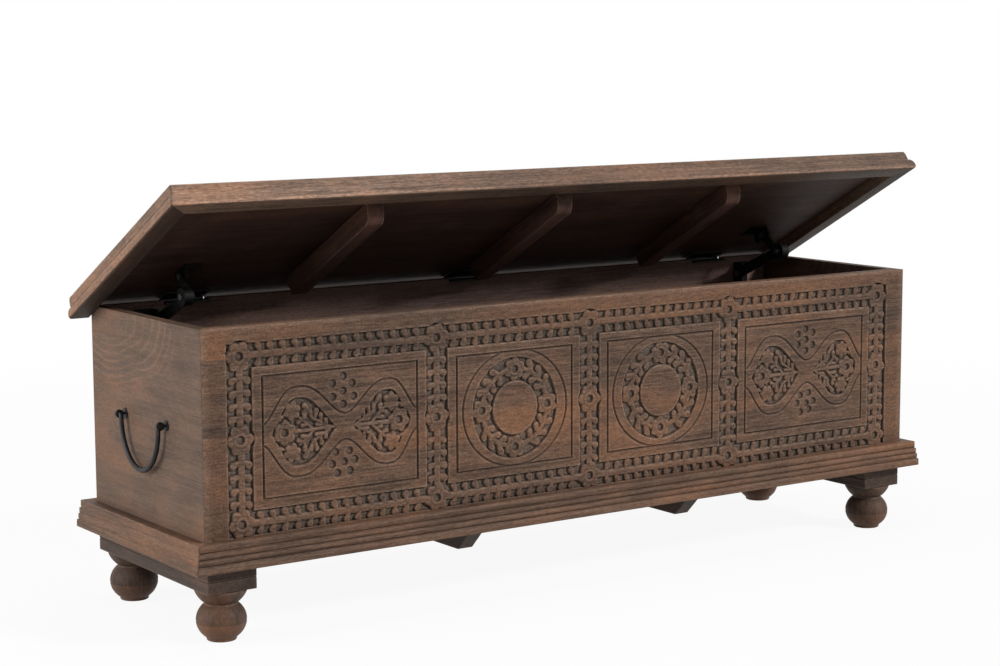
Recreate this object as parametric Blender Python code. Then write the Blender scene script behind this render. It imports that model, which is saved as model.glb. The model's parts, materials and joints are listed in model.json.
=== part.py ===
"""Carved hardwood storage bench on bun feet, with a hinged lid that two folding stays hold open.

Metres, +Z up. The origin is on the floor under the middle of the chest, +X runs along the chest
and -Y is its carved front. The lid stands part open, which is the rest position of its hinge.
"""

import math

import bmesh
import bpy
from mathutils import Matrix, Vector

# Clearances
GAP = 0.0003
PIN_PLAY = 0.0003
LEAF_PLAY = 0.0005

# Chest walls
CARCASS_LENGTH = 1.340
CARCASS_DEPTH = 0.355
CARCASS_HEIGHT = 0.339
FRONT_THICKNESS = 0.022
END_THICKNESS = 0.018
BACK_THICKNESS = 0.018
BOTTOM_THICKNESS = 0.012

# Base moulding
MOULDING_HEIGHT = 0.041
MOULDING_OVERHANG = 0.0232
MOULDING_LEDGE = 0.0128
MOULDING_BEAD_OUT = 0.0181
MOULDING_BEAD_HEIGHT = 0.0115
MOULDING_NOSE_HEIGHT = 0.011
MOULDING_NOSE_ROUND = 0.0016
MOULDING_FILLET = 0.001

# Runners, foot rails and cross bearers under the chest
RUNNER_WIDTH = 0.078
RUNNER_THICKNESS = 0.017
RUNNER_END_INSET = 0.003
FOOT_RAIL_THICKNESS = 0.0175
BEARER_WIDTH = 0.027
BEARER_FROM_CARCASS_END = 0.458

# Turned feet
FOOT_HEIGHT = 0.0745
FOOT_PAD_RADIUS = 0.0215
FOOT_PAD_HEIGHT = 0.005
FOOT_BALL_RADIUS = 0.036
FOOT_NECK_RADIUS = 0.024
FOOT_NECK_HEIGHT = 0.053
FOOT_CUP_RADIUS = 0.0375
FOOT_FROM_CARCASS_FACE = 0.0355
FOOT_SIDES = 24
FOOT_BOLT_RADIUS = 0.004
FOOT_BOLT_DEPTH = 0.035

# Lid
LID_PANEL_THICKNESS = 0.0175
LID_EDGE_HEIGHT = 0.0347
LID_TOP_OVERHANG = 0.0245
LID_BEAD_OUT = 0.003
LID_BEAD_HEIGHT = 0.0158
LID_BEAD_QUIRK = 0.0012
LID_NOSE_OUT = 0.0095
LID_NOSE_RADIUS = 0.0026
LID_RAIL_CLEARANCE = 0.002
LID_REAR_OVERHANG = 0.012
LID_PANEL_REAR_OVERHANG = 0.0012
LID_OPEN_DEG = 28.5
BATTEN_WIDTH = 0.028
BATTEN_DEPTH = 0.030
BATTEN_FROM_END_PANEL = 0.307
BATTEN_FRONT_SETBACK = 0.008
BATTEN_REAR_SETBACK = 0.0325
BATTEN_NOSE_LENGTH = 0.020

# Butt hinges
HINGE_LENGTH = 0.076
HINGE_FROM_END_PANEL = 0.132
HINGE_LEAF_WIDTH = 0.025
HINGE_LEAF_THICKNESS = 0.002
HINGE_LEAF_SPREAD = 0.0007
KNUCKLE_RADIUS = 0.0034
KNUCKLE_SIDES = 12
HINGE_PIN_RADIUS = 0.0015

# Folding lid stays
STAY_FROM_END_PANEL = 0.070
STAY_PLATE = 0.003
STAY_LAYER_GAP = 0.0004
STAY_WALL_STANDOFF = 0.014
STAY_WALL_DROP = 0.026
STAY_LID_REACH = 0.118
STAY_LID_DROP = 0.012
STAY_WALL_EYE_RADIUS = 0.010
STAY_ELBOW_RADIUS = 0.008
STAY_LID_EYE_RADIUS = 0.0075
STAY_DRUM_RADIUS = 0.014
STAY_DRUM_DEPTH = 0.012
STAY_DRUM_SIDES = 24
STAY_PIN_RADIUS = 0.003
STAY_PIN_HEAD_RADIUS = 0.005
STAY_PIN_HEAD = 0.0015
BRACKET_PLATE = 0.0025
BRACKET_WIDTH = 0.028
BRACKET_LENGTH = 0.038

# Bail handles
HANDLE_BELOW_TOP = 0.1485
BAIL_HALF_WIDTH = 0.0605
BAIL_DROP = 0.073
BAIL_WIRE_RADIUS = 0.0036
BAIL_BEND_RADIUS = 0.0045
EYE_STANDOFF = 0.010
EYE_RADIUS = 0.0062
EYE_THICKNESS = 0.004
EYE_SIDES = 20
EYE_SHANK_RADIUS = 0.0021
EYE_ROSE_RADIUS = 0.008
EYE_ROSE_THICKNESS = 0.0015
EYE_SHANK_DEPTH = 0.013
EYE_PLAY = 0.0004
BAIL_STUB_END = 0.002

# Carved front
CARVING_DEPTH = 0.0045
STILE_WIDTH = 0.040
TOP_RAIL_HEIGHT = 0.024
BAND_WIDTH = 0.038
STEM_WIDTH = 0.011
OUTER_FIELD_WIDTH = 0.288
ROSETTE_RADIUS = 0.0195
ROSETTE_EYE_RADIUS = 0.0065
ROSETTE_EYE_DEPTH = 0.003
ROSETTE_SIDES = 12
ROSETTE_EYE_SIDES = 8
MEDALLION_MARGIN = 0.0235
MEDALLION_DISC_RADIUS = 0.040
MEDALLION_ROSETTE_RADIUS = 0.0175
MEDALLION_SIDES = 32
DROP_HALF_HEIGHT = 0.047
DROP_LENGTH = 0.112
DROP_WAIST_HALF = 0.011
DROP_STEPS = 12
DROP_SWELL = 1.5
FLOWER_RADIUS = 0.012
TIP_FLOWER_RADIUS = 0.019

# Heights, from the floor up
RAIL_BOTTOM = FOOT_HEIGHT + GAP
RUNNER_BOTTOM = RAIL_BOTTOM + FOOT_RAIL_THICKNESS + GAP
CARCASS_BOTTOM = RUNNER_BOTTOM + RUNNER_THICKNESS + GAP
MOULDING_TOP = CARCASS_BOTTOM + MOULDING_HEIGHT
CARCASS_TOP = CARCASS_BOTTOM + CARCASS_HEIGHT

# Faces of the chest
HALF_LENGTH = CARCASS_LENGTH / 2
HALF_DEPTH = CARCASS_DEPTH / 2
FRONT_INSIDE = -HALF_DEPTH + FRONT_THICKNESS
BACK_INSIDE = HALF_DEPTH - BACK_THICKNESS
END_INSIDE = HALF_LENGTH - END_THICKNESS

# Feet, cross bearers, lid battens and handle eyes
FOOT_X = HALF_LENGTH - RUNNER_END_INSET - RUNNER_WIDTH / 2
FOOT_Y = HALF_DEPTH - FOOT_FROM_CARCASS_FACE
BEARER_FROM_MIDDLE = HALF_LENGTH - BEARER_FROM_CARCASS_END
BATTEN_SPACING = END_INSIDE - BATTEN_FROM_END_PANEL
EYE_Y = BAIL_HALF_WIDTH + BAIL_BEND_RADIUS + EYE_THICKNESS / 2
HANDLE_Z = CARCASS_TOP - HANDLE_BELOW_TOP

# Hinge axis: level with the middle of the closed hinge, just behind the back panel
LID_UNDERSIDE = CARCASS_TOP + GAP
LID_LEAF_TOP = LID_UNDERSIDE - GAP
CHEST_LEAF_BOTTOM = LID_LEAF_TOP - 2 * HINGE_LEAF_THICKNESS - HINGE_LEAF_SPREAD
MORTISE_FLOOR = CHEST_LEAF_BOTTOM - GAP
HINGE_SPACING = END_INSIDE - HINGE_FROM_END_PANEL
HINGE_PLACES = {"left": -HINGE_SPACING, "middle": 0.0, "right": HINGE_SPACING}
HINGE_Y = HALF_DEPTH + KNUCKLE_RADIUS + LEAF_PLAY
HINGE_Z = (CHEST_LEAF_BOTTOM + LID_LEAF_TOP) / 2
LID_OPEN = math.radians(LID_OPEN_DEG)

# Stays: the outer face of their outermost plate, then their pivots as (y, z) on the wall, and on
# the closed lid measured from the hinge axis
STAY_FROM_MIDDLE = END_INSIDE - STAY_FROM_END_PANEL
WALL_PIVOT = Vector((BACK_INSIDE - STAY_WALL_STANDOFF, HINGE_Z - STAY_WALL_DROP))
LID_PIVOT = Vector((-STAY_LID_REACH, LID_UNDERSIDE - HINGE_Z - STAY_LID_DROP))

# Finishes: colour, roughness and metallic value
FINISHES = {
    "carved_wood": ((0.118, 0.068, 0.044, 1), 0.55, 0.0),
    "plain_wood": ((0.125, 0.076, 0.052, 1), 0.5, 0.0),
    "inside_wood": ((0.085, 0.050, 0.038, 1), 0.6, 0.0),
    "turned_wood": ((0.090, 0.054, 0.036, 1), 0.45, 0.0),
    "black_iron": ((0.012, 0.012, 0.013, 1), 0.4, 0.9),
    "zinc_steel": ((0.42, 0.42, 0.40, 1), 0.35, 1.0),
}


def clear_scene():
    for old in list(bpy.data.objects):
        bpy.data.objects.remove(old, do_unlink=True)


def finish_material(name):
    """A material for one piece, in one of the finishes."""
    colour, roughness, metallic = FINISHES[name]
    material = bpy.data.materials.new(name)
    material.use_nodes = True
    shader = material.node_tree.nodes["Principled BSDF"]
    shader.inputs["Base Color"].default_value = colour
    shader.inputs["Roughness"].default_value = roughness
    shader.inputs["Metallic"].default_value = metallic
    material.diffuse_color = colour
    return material


def pivot(name, place, turn=0.0):
    """An empty on a joint's axis, turned about X."""
    empty = bpy.data.objects.new(name, None)
    bpy.context.scene.collection.objects.link(empty)
    empty.location = place
    empty.rotation_euler.x = turn
    return empty


def piece(name, bm, finish, parent=None, place=(0, 0, 0), smooth_deg=35):
    """Turns a bmesh into a named object with its finish."""
    bmesh.ops.recalc_face_normals(bm, faces=bm.faces)
    mesh = bpy.data.meshes.new(name)
    bm.to_mesh(mesh)
    bm.free()
    mesh.shade_smooth()
    mesh.set_sharp_from_angle(angle=math.radians(smooth_deg))
    mesh.materials.append(finish_material(finish))
    made = bpy.data.objects.new(name, mesh)
    bpy.context.scene.collection.objects.link(made)
    made.parent = parent
    made.location = place
    return made


def cutter(name, bm, parent=None):
    """A helper solid that is not part of the object."""
    helper = piece(name, bm, "plain_wood", parent)
    helper.hide_render = True
    helper.display_type = "WIRE"
    return helper


def apply_boolean(target, operation, other):
    """Cuts a target with, or joins it to, one object or a collection of them."""
    modifier = target.modifiers.new(operation.lower(), "BOOLEAN")
    modifier.operation = operation
    modifier.solver = "EXACT"
    if isinstance(other, bpy.types.Collection):
        modifier.operand_type = "COLLECTION"
        modifier.collection = other
    else:
        modifier.object = other


def group(name, objects):
    """A collection that a Boolean takes as one operand."""
    held = bpy.data.collections.new(name)
    for one in objects:
        held.objects.link(one)
    return held


def close_between(bm, low, high):
    """Joins two rings of as many points with side faces, and closes both ends."""
    for i, corner in enumerate(low):
        after = (i + 1) % len(low)
        bm.faces.new((corner, low[after], high[after], high[i]))
    bm.faces.new(low)
    bm.faces.new(high)
    return bm


def prism(outline, axis, start, end):
    """A straight solid: a flat outline carried along one axis from start to end."""
    bm = bmesh.new()
    along = "XYZ".index(axis)
    first, second = ("XYZ".index(letter) for letter in "XYZ" if letter != axis)
    rings = []
    for level in (start, end):
        ring = []
        for point in outline:
            place = [0.0, 0.0, 0.0]
            place[first], place[second], place[along] = point[0], point[1], level
            ring.append(bm.verts.new(place))
        rings.append(ring)
    return close_between(bm, *rings)


def rectangle(low, high):
    return (low[0], low[1]), (high[0], low[1]), (high[0], high[1]), (low[0], high[1])


def box(low, high):
    return prism(rectangle(low, high), "Z", low[2], high[2])


def circle(centre, radius, sides):
    turns = (2 * math.pi * i / sides for i in range(sides))
    return [(centre[0] + radius * math.cos(t), centre[1] + radius * math.sin(t)) for t in turns]


def arc(centre, radii, start_deg, end_deg, steps):
    """Points along part of an ellipse, ends included."""
    points = []
    for i in range(steps + 1):
        angle = math.radians(start_deg + (end_deg - start_deg) * i / steps)
        points.append((centre[0] + radii[0] * math.cos(angle), centre[1] + radii[1] * math.sin(angle)))
    return points


def turned(profile, sides, turn=None):
    """A lathe-turned solid: (radius, height) points from one end of the axis to the other."""
    bm = bmesh.new()
    rings = []
    for radius, height in profile:
        if radius == 0:
            rings.append([bm.verts.new((0, 0, height))])
        else:
            rings.append([bm.verts.new((x, y, height)) for x, y in circle((0, 0), radius, sides)])
    for low, high in zip(rings, rings[1:]):
        for i in range(sides):
            corners = [low[i % len(low)], low[(i + 1) % len(low)]]
            corners += [high[(i + 1) % len(high)], high[i % len(high)]]
            bm.faces.new(dict.fromkeys(corners))
    if turn:
        bmesh.ops.transform(bm, matrix=turn, verts=bm.verts)
    return bm


ALONG_X = Matrix.Rotation(math.radians(90), 4, "Y")


def link_outline(start, start_radius, end, end_radius, steps=8):
    """The outline of a flat link with two round ends of their own radii."""
    run = end - start
    heading = math.degrees(math.atan2(run.y, run.x))
    lean = math.degrees(math.acos((start_radius - end_radius) / run.length))
    tail = arc(start, (start_radius, start_radius), heading + lean, heading + 360 - lean, steps)
    head = arc(end, (end_radius, end_radius), heading - lean, heading + lean, steps)
    return tail + head


def rivet(length, radius, head_radius, head):
    """A pin with a flat head at each end, its shank starting at height 0."""
    return [
        (0, -head),
        (head_radius, -head),
        (head_radius, 0),
        (radius, 0),
        (radius, length),
        (head_radius, length),
        (head_radius, length + head),
        (0, length + head),
    ]


def mitred_strip(profile, half_run, left_end, right_end):
    """A moulding along X whose profile is (out, height) points, out being towards -Y.

    An end is None where it is mitred at half_run, or else the place of a square cut.
    """
    bm = bmesh.new()
    rings = []
    for side, square in ((-1, left_end), (1, right_end)):
        ring = []
        for out, height in profile:
            mitre = side * (half_run + out - GAP / 2)
            ring.append(bm.verts.new((mitre if square is None else square, -out, height)))
        rings.append(ring)
    return close_between(bm, *rings)


# In order round the chest, each a quarter turn on from the one before
SIDES = ("front", "right", "back", "left")


def turn_to_side(bm, side, face):
    """Turns a strip made for the front so that it lies on another face of the chest."""
    turn = Matrix.Rotation(math.pi / 2 * SIDES.index(side), 4, "Z")
    bmesh.ops.transform(bm, matrix=turn @ Matrix.Translation((0, -face, 0)), verts=bm.verts)
    return bm


# Carved front


def carving_layout():
    """Half the carved length, the bands' middles, the bottom and top, and the fields between bands."""
    half = HALF_LENGTH - STILE_WIDTH
    low = MOULDING_TOP + GAP
    high = CARCASS_TOP - TOP_RAIL_HEIGHT
    outer = half - BAND_WIDTH / 2
    inner = half - BAND_WIDTH - OUTER_FIELD_WIDTH - BAND_WIDTH / 2
    bands = (-outer, -inner, 0.0, inner, outer)
    fields = []
    for first, second in zip(bands, bands[1:]):
        fields.append((first + BAND_WIDTH / 2, second - BAND_WIDTH / 2))
    return half, bands, low, high, fields


def carve(name, outline):
    """A prism from in front of the panel down to the carved ground."""
    bm = prism(outline, "Y", -HALF_DEPTH - CARVING_DEPTH, -HALF_DEPTH + CARVING_DEPTH)
    return cutter(name, bm)


def keep(name, outline):
    """A prism that stays standing where it crosses the carved ground."""
    bm = prism(outline, "Y", -HALF_DEPTH - 2 * CARVING_DEPTH, -HALF_DEPTH + 2 * CARVING_DEPTH)
    return cutter(name, bm)


def drilled_eye(name, centre):
    """The drilled middle of a rosette or of a flower."""
    outline = circle(centre, ROSETTE_EYE_RADIUS, ROSETTE_EYE_SIDES)
    bm = prism(outline, "Y", -HALF_DEPTH - CARVING_DEPTH, -HALF_DEPTH + ROSETTE_EYE_DEPTH)
    return cutter(name, bm)


def border_ground():
    """The sunk border bands, with their stems and rosettes left standing, and the rosettes' eyes."""
    half, bands, low, high, fields = carving_layout()
    field_low = low + BAND_WIDTH
    field_high = high - BAND_WIDTH
    middle = (low + high) / 2
    kept = []
    for i, (start, end) in enumerate(fields):
        kept.append(keep(f"cut_field_{i}", rectangle((start, field_low), (end, field_high))))
    edge = STEM_WIDTH / 2
    for level in (low + BAND_WIDTH / 2, high - BAND_WIDTH / 2):
        stem = rectangle((-half + STEM_WIDTH, level - edge), (half - STEM_WIDTH, level + edge))
        kept.append(keep("cut_long_stem", stem))
    eyes = []
    for x in bands:
        stem = rectangle((x - edge, low + STEM_WIDTH), (x + edge, high - STEM_WIDTH))
        kept.append(keep("cut_upright_stem", stem))
        for level in (low + BAND_WIDTH / 2, middle, high - BAND_WIDTH / 2):
            kept.append(keep("cut_rosette", circle((x, level), ROSETTE_RADIUS, ROSETTE_SIDES)))
            eyes.append(drilled_eye("cut_rosette_eye", (x, level)))
    ground = carve("cut_border", rectangle((-half, low), (half, high)))
    apply_boolean(ground, "DIFFERENCE", group("border_kept", kept))
    return [ground] + eyes


def medallion_ground(centre, radius):
    """A sunk ring round a plain disc, with a rosette left standing at each quarter."""
    ring = (MEDALLION_DISC_RADIUS + radius) / 2
    kept = [keep("cut_disc", circle(centre, MEDALLION_DISC_RADIUS, MEDALLION_SIDES))]
    eyes = []
    for across, up in ((0, 1), (1, 0), (0, -1), (-1, 0)):
        place = (centre[0] + across * ring, centre[1] + up * ring)
        kept.append(keep("cut_ring_rosette", circle(place, MEDALLION_ROSETTE_RADIUS, ROSETTE_SIDES)))
        eyes.append(drilled_eye("cut_ring_eye", place))
    ground = carve("cut_medallion", circle(centre, radius, MEDALLION_SIDES))
    apply_boolean(ground, "DIFFERENCE", group("medallion_kept", kept))
    return [ground] + eyes


def drop_outline(waist, heading):
    """A drop with a point at each end: broad in the middle, drawn out towards the waist."""
    upper = []
    for i in range(1, DROP_STEPS):
        share = i / DROP_STEPS
        swell = math.sin(math.pi * share) ** DROP_SWELL
        upper.append((waist[0] + heading * DROP_LENGTH * share, DROP_HALF_HEIGHT * swell))
    outline = [(waist[0], waist[1])]
    outline += [(x, waist[1] + rise) for x, rise in upper]
    outline.append((waist[0] + heading * DROP_LENGTH, waist[1]))
    outline += [(x, waist[1] - rise) for x, rise in reversed(upper)]
    return outline


def drop_ground(waist, heading):
    """A sunk drop with its stem, a flower at its tip and one to each side left standing."""
    tip = (waist[0] + heading * (DROP_LENGTH - TIP_FLOWER_RADIUS), waist[1])
    stem_end = waist[0] + heading * DROP_LENGTH
    stem_low = (min(waist[0], stem_end), waist[1] - STEM_WIDTH / 4)
    stem_high = (max(waist[0], stem_end), waist[1] + STEM_WIDTH / 4)
    kept = [keep("cut_drop_stem", rectangle(stem_low, stem_high))]
    kept.append(keep("cut_tip_flower", circle(tip, TIP_FLOWER_RADIUS, ROSETTE_SIDES)))
    for side in (-1, 1):
        place = (waist[0] + heading * DROP_LENGTH / 2, waist[1] + side * DROP_HALF_HEIGHT / 2)
        kept.append(keep("cut_flower", circle(place, FLOWER_RADIUS, ROSETTE_SIDES)))
    ground = carve("cut_drop", drop_outline(waist, heading))
    apply_boolean(ground, "DIFFERENCE", group("drop_kept", kept))
    return [ground, drilled_eye("cut_flower_eye", tip)]


def front_panel():
    """The front, mitred to both ends and carved with four fields between leafy bands."""
    outer = HALF_LENGTH - GAP / 2
    inner = END_INSIDE - GAP / 2
    outline = ((-outer, -HALF_DEPTH), (outer, -HALF_DEPTH), (inner, FRONT_INSIDE), (-inner, FRONT_INSIDE))
    panel = piece("front_panel", prism(outline, "Z", CARCASS_BOTTOM, CARCASS_TOP), "carved_wood")
    low, high, fields = carving_layout()[2:]
    middle = (low + high) / 2
    grounds = border_ground()
    for start, end in fields[1:3]:
        room = min((high - low) / 2 - BAND_WIDTH, (end - start) / 2)
        grounds += medallion_ground(((start + end) / 2, middle), room - MEDALLION_MARGIN)
    for start, end in (fields[0], fields[3]):
        for heading in (-1, 1):
            waist = ((start + end) / 2 + heading * DROP_WAIST_HALF, middle)
            grounds += drop_ground(waist, heading)
    apply_boolean(panel, "DIFFERENCE", group("carved_ground", grounds))


# Chest


def end_panels():
    """The two ends, mitred to the front, each with holes for its handle eyes."""
    for side, name in ((-1, "left"), (1, "right")):
        outline = (
            (side * HALF_LENGTH, -HALF_DEPTH + GAP / 2),
            (side * END_INSIDE, FRONT_INSIDE + GAP / 2),
            (side * END_INSIDE, HALF_DEPTH),
            (side * HALF_LENGTH, HALF_DEPTH),
        )
        end = piece(f"{name}_end_panel", prism(outline, "Z", CARCASS_BOTTOM, CARCASS_TOP), "plain_wood")
        for y in (-EYE_Y, EYE_Y):
            hole = circle((y, HANDLE_Z), EYE_SHANK_RADIUS + GAP, KNUCKLE_SIDES)
            bottom = side * (HALF_LENGTH - EYE_SHANK_DEPTH - GAP)
            bm = prism(hole, "X", bottom, side * (HALF_LENGTH + EYE_STANDOFF))
            apply_boolean(end, "DIFFERENCE", cutter(f"cut_{name}_eye_hole", bm))


def back_panel():
    """The back, let in between the ends, with a mortise for each hinge in its top edge."""
    reach = END_INSIDE - GAP
    bm = box((-reach, BACK_INSIDE, CARCASS_BOTTOM), (reach, HALF_DEPTH, CARCASS_TOP))
    back = piece("back_panel", bm, "inside_wood")
    half = HINGE_LENGTH / 2 + LEAF_PLAY
    for x in HINGE_PLACES.values():
        low = (x - half, BACK_INSIDE - BACK_THICKNESS, MORTISE_FLOOR)
        high = (x + half, HALF_DEPTH + BACK_THICKNESS, CARCASS_TOP + BACK_THICKNESS)
        apply_boolean(back, "DIFFERENCE", cutter("cut_mortise", box(low, high)))


def bottom_board():
    low = (-END_INSIDE + GAP, FRONT_INSIDE + GAP, CARCASS_BOTTOM)
    high = (END_INSIDE - GAP, BACK_INSIDE - GAP, CARCASS_BOTTOM + BOTTOM_THICKNESS)
    piece("bottom_board", box(low, high), "inside_wood")


def base_moulding_profile():
    """From the chest face round the ledge, bead, cove and nose, as (out, height)."""
    bead_low = MOULDING_TOP - MOULDING_BEAD_HEIGHT
    bead_radii = (MOULDING_BEAD_OUT - MOULDING_LEDGE, MOULDING_BEAD_HEIGHT)
    cove_in = MOULDING_BEAD_OUT + MOULDING_FILLET
    cove_high = bead_low - 2 * MOULDING_FILLET
    cove_low = CARCASS_BOTTOM + MOULDING_NOSE_HEIGHT + MOULDING_FILLET
    nose_in = MOULDING_OVERHANG - MOULDING_NOSE_ROUND
    nose_radii = (MOULDING_NOSE_ROUND, MOULDING_NOSE_HEIGHT / 2)
    profile = [(GAP, CARCASS_BOTTOM), (GAP, MOULDING_TOP)]
    profile += arc((MOULDING_LEDGE, bead_low), bead_radii, 90, 0, 5)
    profile.append((MOULDING_BEAD_OUT, cove_high))
    profile += arc((nose_in, cove_high), (nose_in - cove_in, cove_high - cove_low), 180, 270, 4)
    profile += arc((nose_in, CARCASS_BOTTOM + nose_radii[1]), nose_radii, 90, -90, 6)
    return profile


def base_mouldings():
    """Four mitred strips of one profile round the foot of the chest."""
    profile = base_moulding_profile()
    for side in SIDES:
        half_run, face = HALF_LENGTH, HALF_DEPTH
        if side in ("left", "right"):
            half_run, face = HALF_DEPTH, HALF_LENGTH
        bm = turn_to_side(mitred_strip(profile, half_run, None, None), side, face)
        piece(f"{side}_base_moulding", bm, "plain_wood")


def underframe():
    """At each end a runner on a foot rail, and between them two cross bearers with bevelled ends."""
    outer = HALF_LENGTH - RUNNER_END_INSET
    for side, name in ((-1, "left"), (1, "right")):
        near, far = sorted((side * outer, side * (outer - RUNNER_WIDTH)))
        bolts = []
        for y in (-FOOT_Y, FOOT_Y):
            hole = circle((side * FOOT_X, y), FOOT_BOLT_RADIUS + GAP, KNUCKLE_SIDES)
            bolts.append(cutter("cut_bolt_hole", prism(hole, "Z", 0, CARCASS_BOTTOM)))
        layers = (
            ("runner", RUNNER_BOTTOM, RUNNER_THICKNESS),
            ("foot_rail", RAIL_BOTTOM, FOOT_RAIL_THICKNESS),
        )
        for layer, bottom, thickness in layers:
            bm = box((near, -HALF_DEPTH, bottom), (far, HALF_DEPTH, bottom + thickness))
            rail = piece(f"{name}_{layer}", bm, "turned_wood")
            for bolt in bolts:
                apply_boolean(rail, "DIFFERENCE", bolt)
    top = RUNNER_BOTTOM + RUNNER_THICKNESS
    bevel = top - RAIL_BOTTOM
    outline = (
        (-HALF_DEPTH, top),
        (-HALF_DEPTH + bevel, RAIL_BOTTOM),
        (HALF_DEPTH - bevel, RAIL_BOTTOM),
        (HALF_DEPTH, top),
    )
    for side, name in ((-1, "left"), (1, "right")):
        start = side * BEARER_FROM_MIDDLE - BEARER_WIDTH / 2
        piece(f"{name}_cross_bearer", prism(outline, "X", start, start + BEARER_WIDTH), "turned_wood")


def foot_profile():
    """Pad, ball, neck and flared cup, then down the bolt hole, as (radius, height)."""
    ball_height = FOOT_NECK_HEIGHT - FOOT_PAD_HEIGHT
    low = math.degrees(math.acos(FOOT_PAD_RADIUS / FOOT_BALL_RADIUS))
    high = math.degrees(math.acos(FOOT_NECK_RADIUS / FOOT_BALL_RADIUS))
    rise = ball_height / (math.sin(math.radians(low)) + math.sin(math.radians(high)))
    middle = FOOT_PAD_HEIGHT + rise * math.sin(math.radians(low))
    cup_radii = (FOOT_CUP_RADIUS - FOOT_NECK_RADIUS, FOOT_HEIGHT - FOOT_NECK_HEIGHT)
    hole = FOOT_BOLT_RADIUS + GAP
    hole_end = FOOT_HEIGHT - FOOT_BOLT_DEPTH
    profile = [(0, 0), (FOOT_PAD_RADIUS, 0)]
    profile += arc((0, middle), (FOOT_BALL_RADIUS, rise), -low, high, 8)
    profile += arc((FOOT_NECK_RADIUS, FOOT_HEIGHT), cup_radii, -80, 0, 4)
    profile += [(hole, FOOT_HEIGHT), (hole, hole_end), (0, hole_end)]
    return profile


def feet():
    """Four turned feet, each hung on a bolt that passes up through its rail and runner."""
    bolt_low = FOOT_HEIGHT - FOOT_BOLT_DEPTH + GAP
    bolt_high = RUNNER_BOTTOM + RUNNER_THICKNESS
    bolt = [(0, bolt_low), (FOOT_BOLT_RADIUS, bolt_low), (FOOT_BOLT_RADIUS, bolt_high), (0, bolt_high)]
    for depth_side, depth_name in ((-1, "front"), (1, "back")):
        for side, name in ((-1, "left"), (1, "right")):
            place = (side * FOOT_X, depth_side * FOOT_Y, 0)
            foot = turned(foot_profile(), FOOT_SIDES)
            piece(f"{depth_name}_{name}_foot", foot, "turned_wood", place=place)
            piece(f"{depth_name}_{name}_foot_bolt", turned(bolt, KNUCKLE_SIDES), "zinc_steel", place=place)


# Lid, made closed and measured from the hinge axis


def lid_rail_profile():
    """The lid's moulded edge as (out, height): flat top, bead, quirk, rounded nose and flat underside."""
    top = LID_UNDERSIDE + LID_PANEL_THICKNESS - HINGE_Z
    bottom = top - LID_EDGE_HEIGHT
    bead_low = top - LID_BEAD_HEIGHT
    quirk = LID_TOP_OVERHANG + LID_BEAD_OUT - LID_BEAD_QUIRK
    nose = LID_TOP_OVERHANG + LID_NOSE_OUT
    nose_low = bottom + LID_NOSE_RADIUS
    profile = [(LID_RAIL_CLEARANCE, bottom), (LID_RAIL_CLEARANCE, top)]
    profile += arc((LID_TOP_OVERHANG, bead_low), (LID_BEAD_OUT, LID_BEAD_HEIGHT), 90, 0, 5)
    profile += arc((quirk, nose_low), (nose - quirk, bead_low - nose_low), 90, 0, 6)
    profile += arc((nose - LID_NOSE_RADIUS, nose_low), (LID_NOSE_RADIUS, LID_NOSE_RADIUS), -30, -90, 2)
    return profile


def lid_rails(lid):
    """Front and side rails of one profile, mitred at the front corners and square at the back."""
    profile = lid_rail_profile()
    rear = HALF_DEPTH + LID_REAR_OVERHANG
    strips = {
        "front": mitred_strip(profile, HALF_LENGTH, None, None),
        "left": mitred_strip(profile, HALF_DEPTH, -rear, None),
        "right": mitred_strip(profile, HALF_DEPTH, None, rear),
    }
    for side, bm in strips.items():
        turn_to_side(bm, side, HALF_DEPTH if side == "front" else HALF_LENGTH)
        bmesh.ops.translate(bm, vec=(0, -HINGE_Y, 0), verts=bm.verts)
        piece(f"lid_{side}_rail", bm, "plain_wood", lid)


def lid_panel(lid):
    """The lid's top. Behind the axis it turns just clear of the back, and it is notched for the hinges."""
    reach = HALF_LENGTH + LID_RAIL_CLEARANCE - GAP
    front = -HALF_DEPTH - LID_RAIL_CLEARANCE + GAP - HINGE_Y
    bottom = LID_UNDERSIDE - HINGE_Z
    rear = math.sqrt((HINGE_Y - HALF_DEPTH - GAP) ** 2 - bottom**2)
    notch = HALF_DEPTH + LID_PANEL_REAR_OVERHANG - HINGE_Y
    half = HINGE_LENGTH / 2 + LEAF_PLAY
    outline = [(-reach, rear), (-reach, front), (reach, front), (reach, rear)]
    for x in sorted(HINGE_PLACES.values(), reverse=True):
        outline += [(x + half, rear), (x + half, notch), (x - half, notch), (x - half, rear)]
    bm = prism(outline, "Z", bottom, bottom + LID_PANEL_THICKNESS)
    piece("lid_panel", bm, "plain_wood", lid)


def lid_battens(lid):
    """Three stiffening battens under the lid, their front ends rounded."""
    top = LID_UNDERSIDE - HINGE_Z - GAP
    front = FRONT_INSIDE + BATTEN_FRONT_SETBACK - HINGE_Y
    rear = BACK_INSIDE - BATTEN_REAR_SETBACK - HINGE_Y
    bottom = top - BATTEN_DEPTH
    nose = arc((front + BATTEN_NOSE_LENGTH, top), (BATTEN_NOSE_LENGTH, BATTEN_DEPTH), 180, 270, 6)
    outline = nose + [(rear, bottom), (rear, top)]
    for i, name in ((-1, "left"), (0, "middle"), (1, "right")):
        start = i * BATTEN_SPACING - BATTEN_WIDTH / 2
        piece(f"{name}_lid_batten", prism(outline, "X", start, start + BATTEN_WIDTH), "inside_wood", lid)


# Hinges


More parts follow.
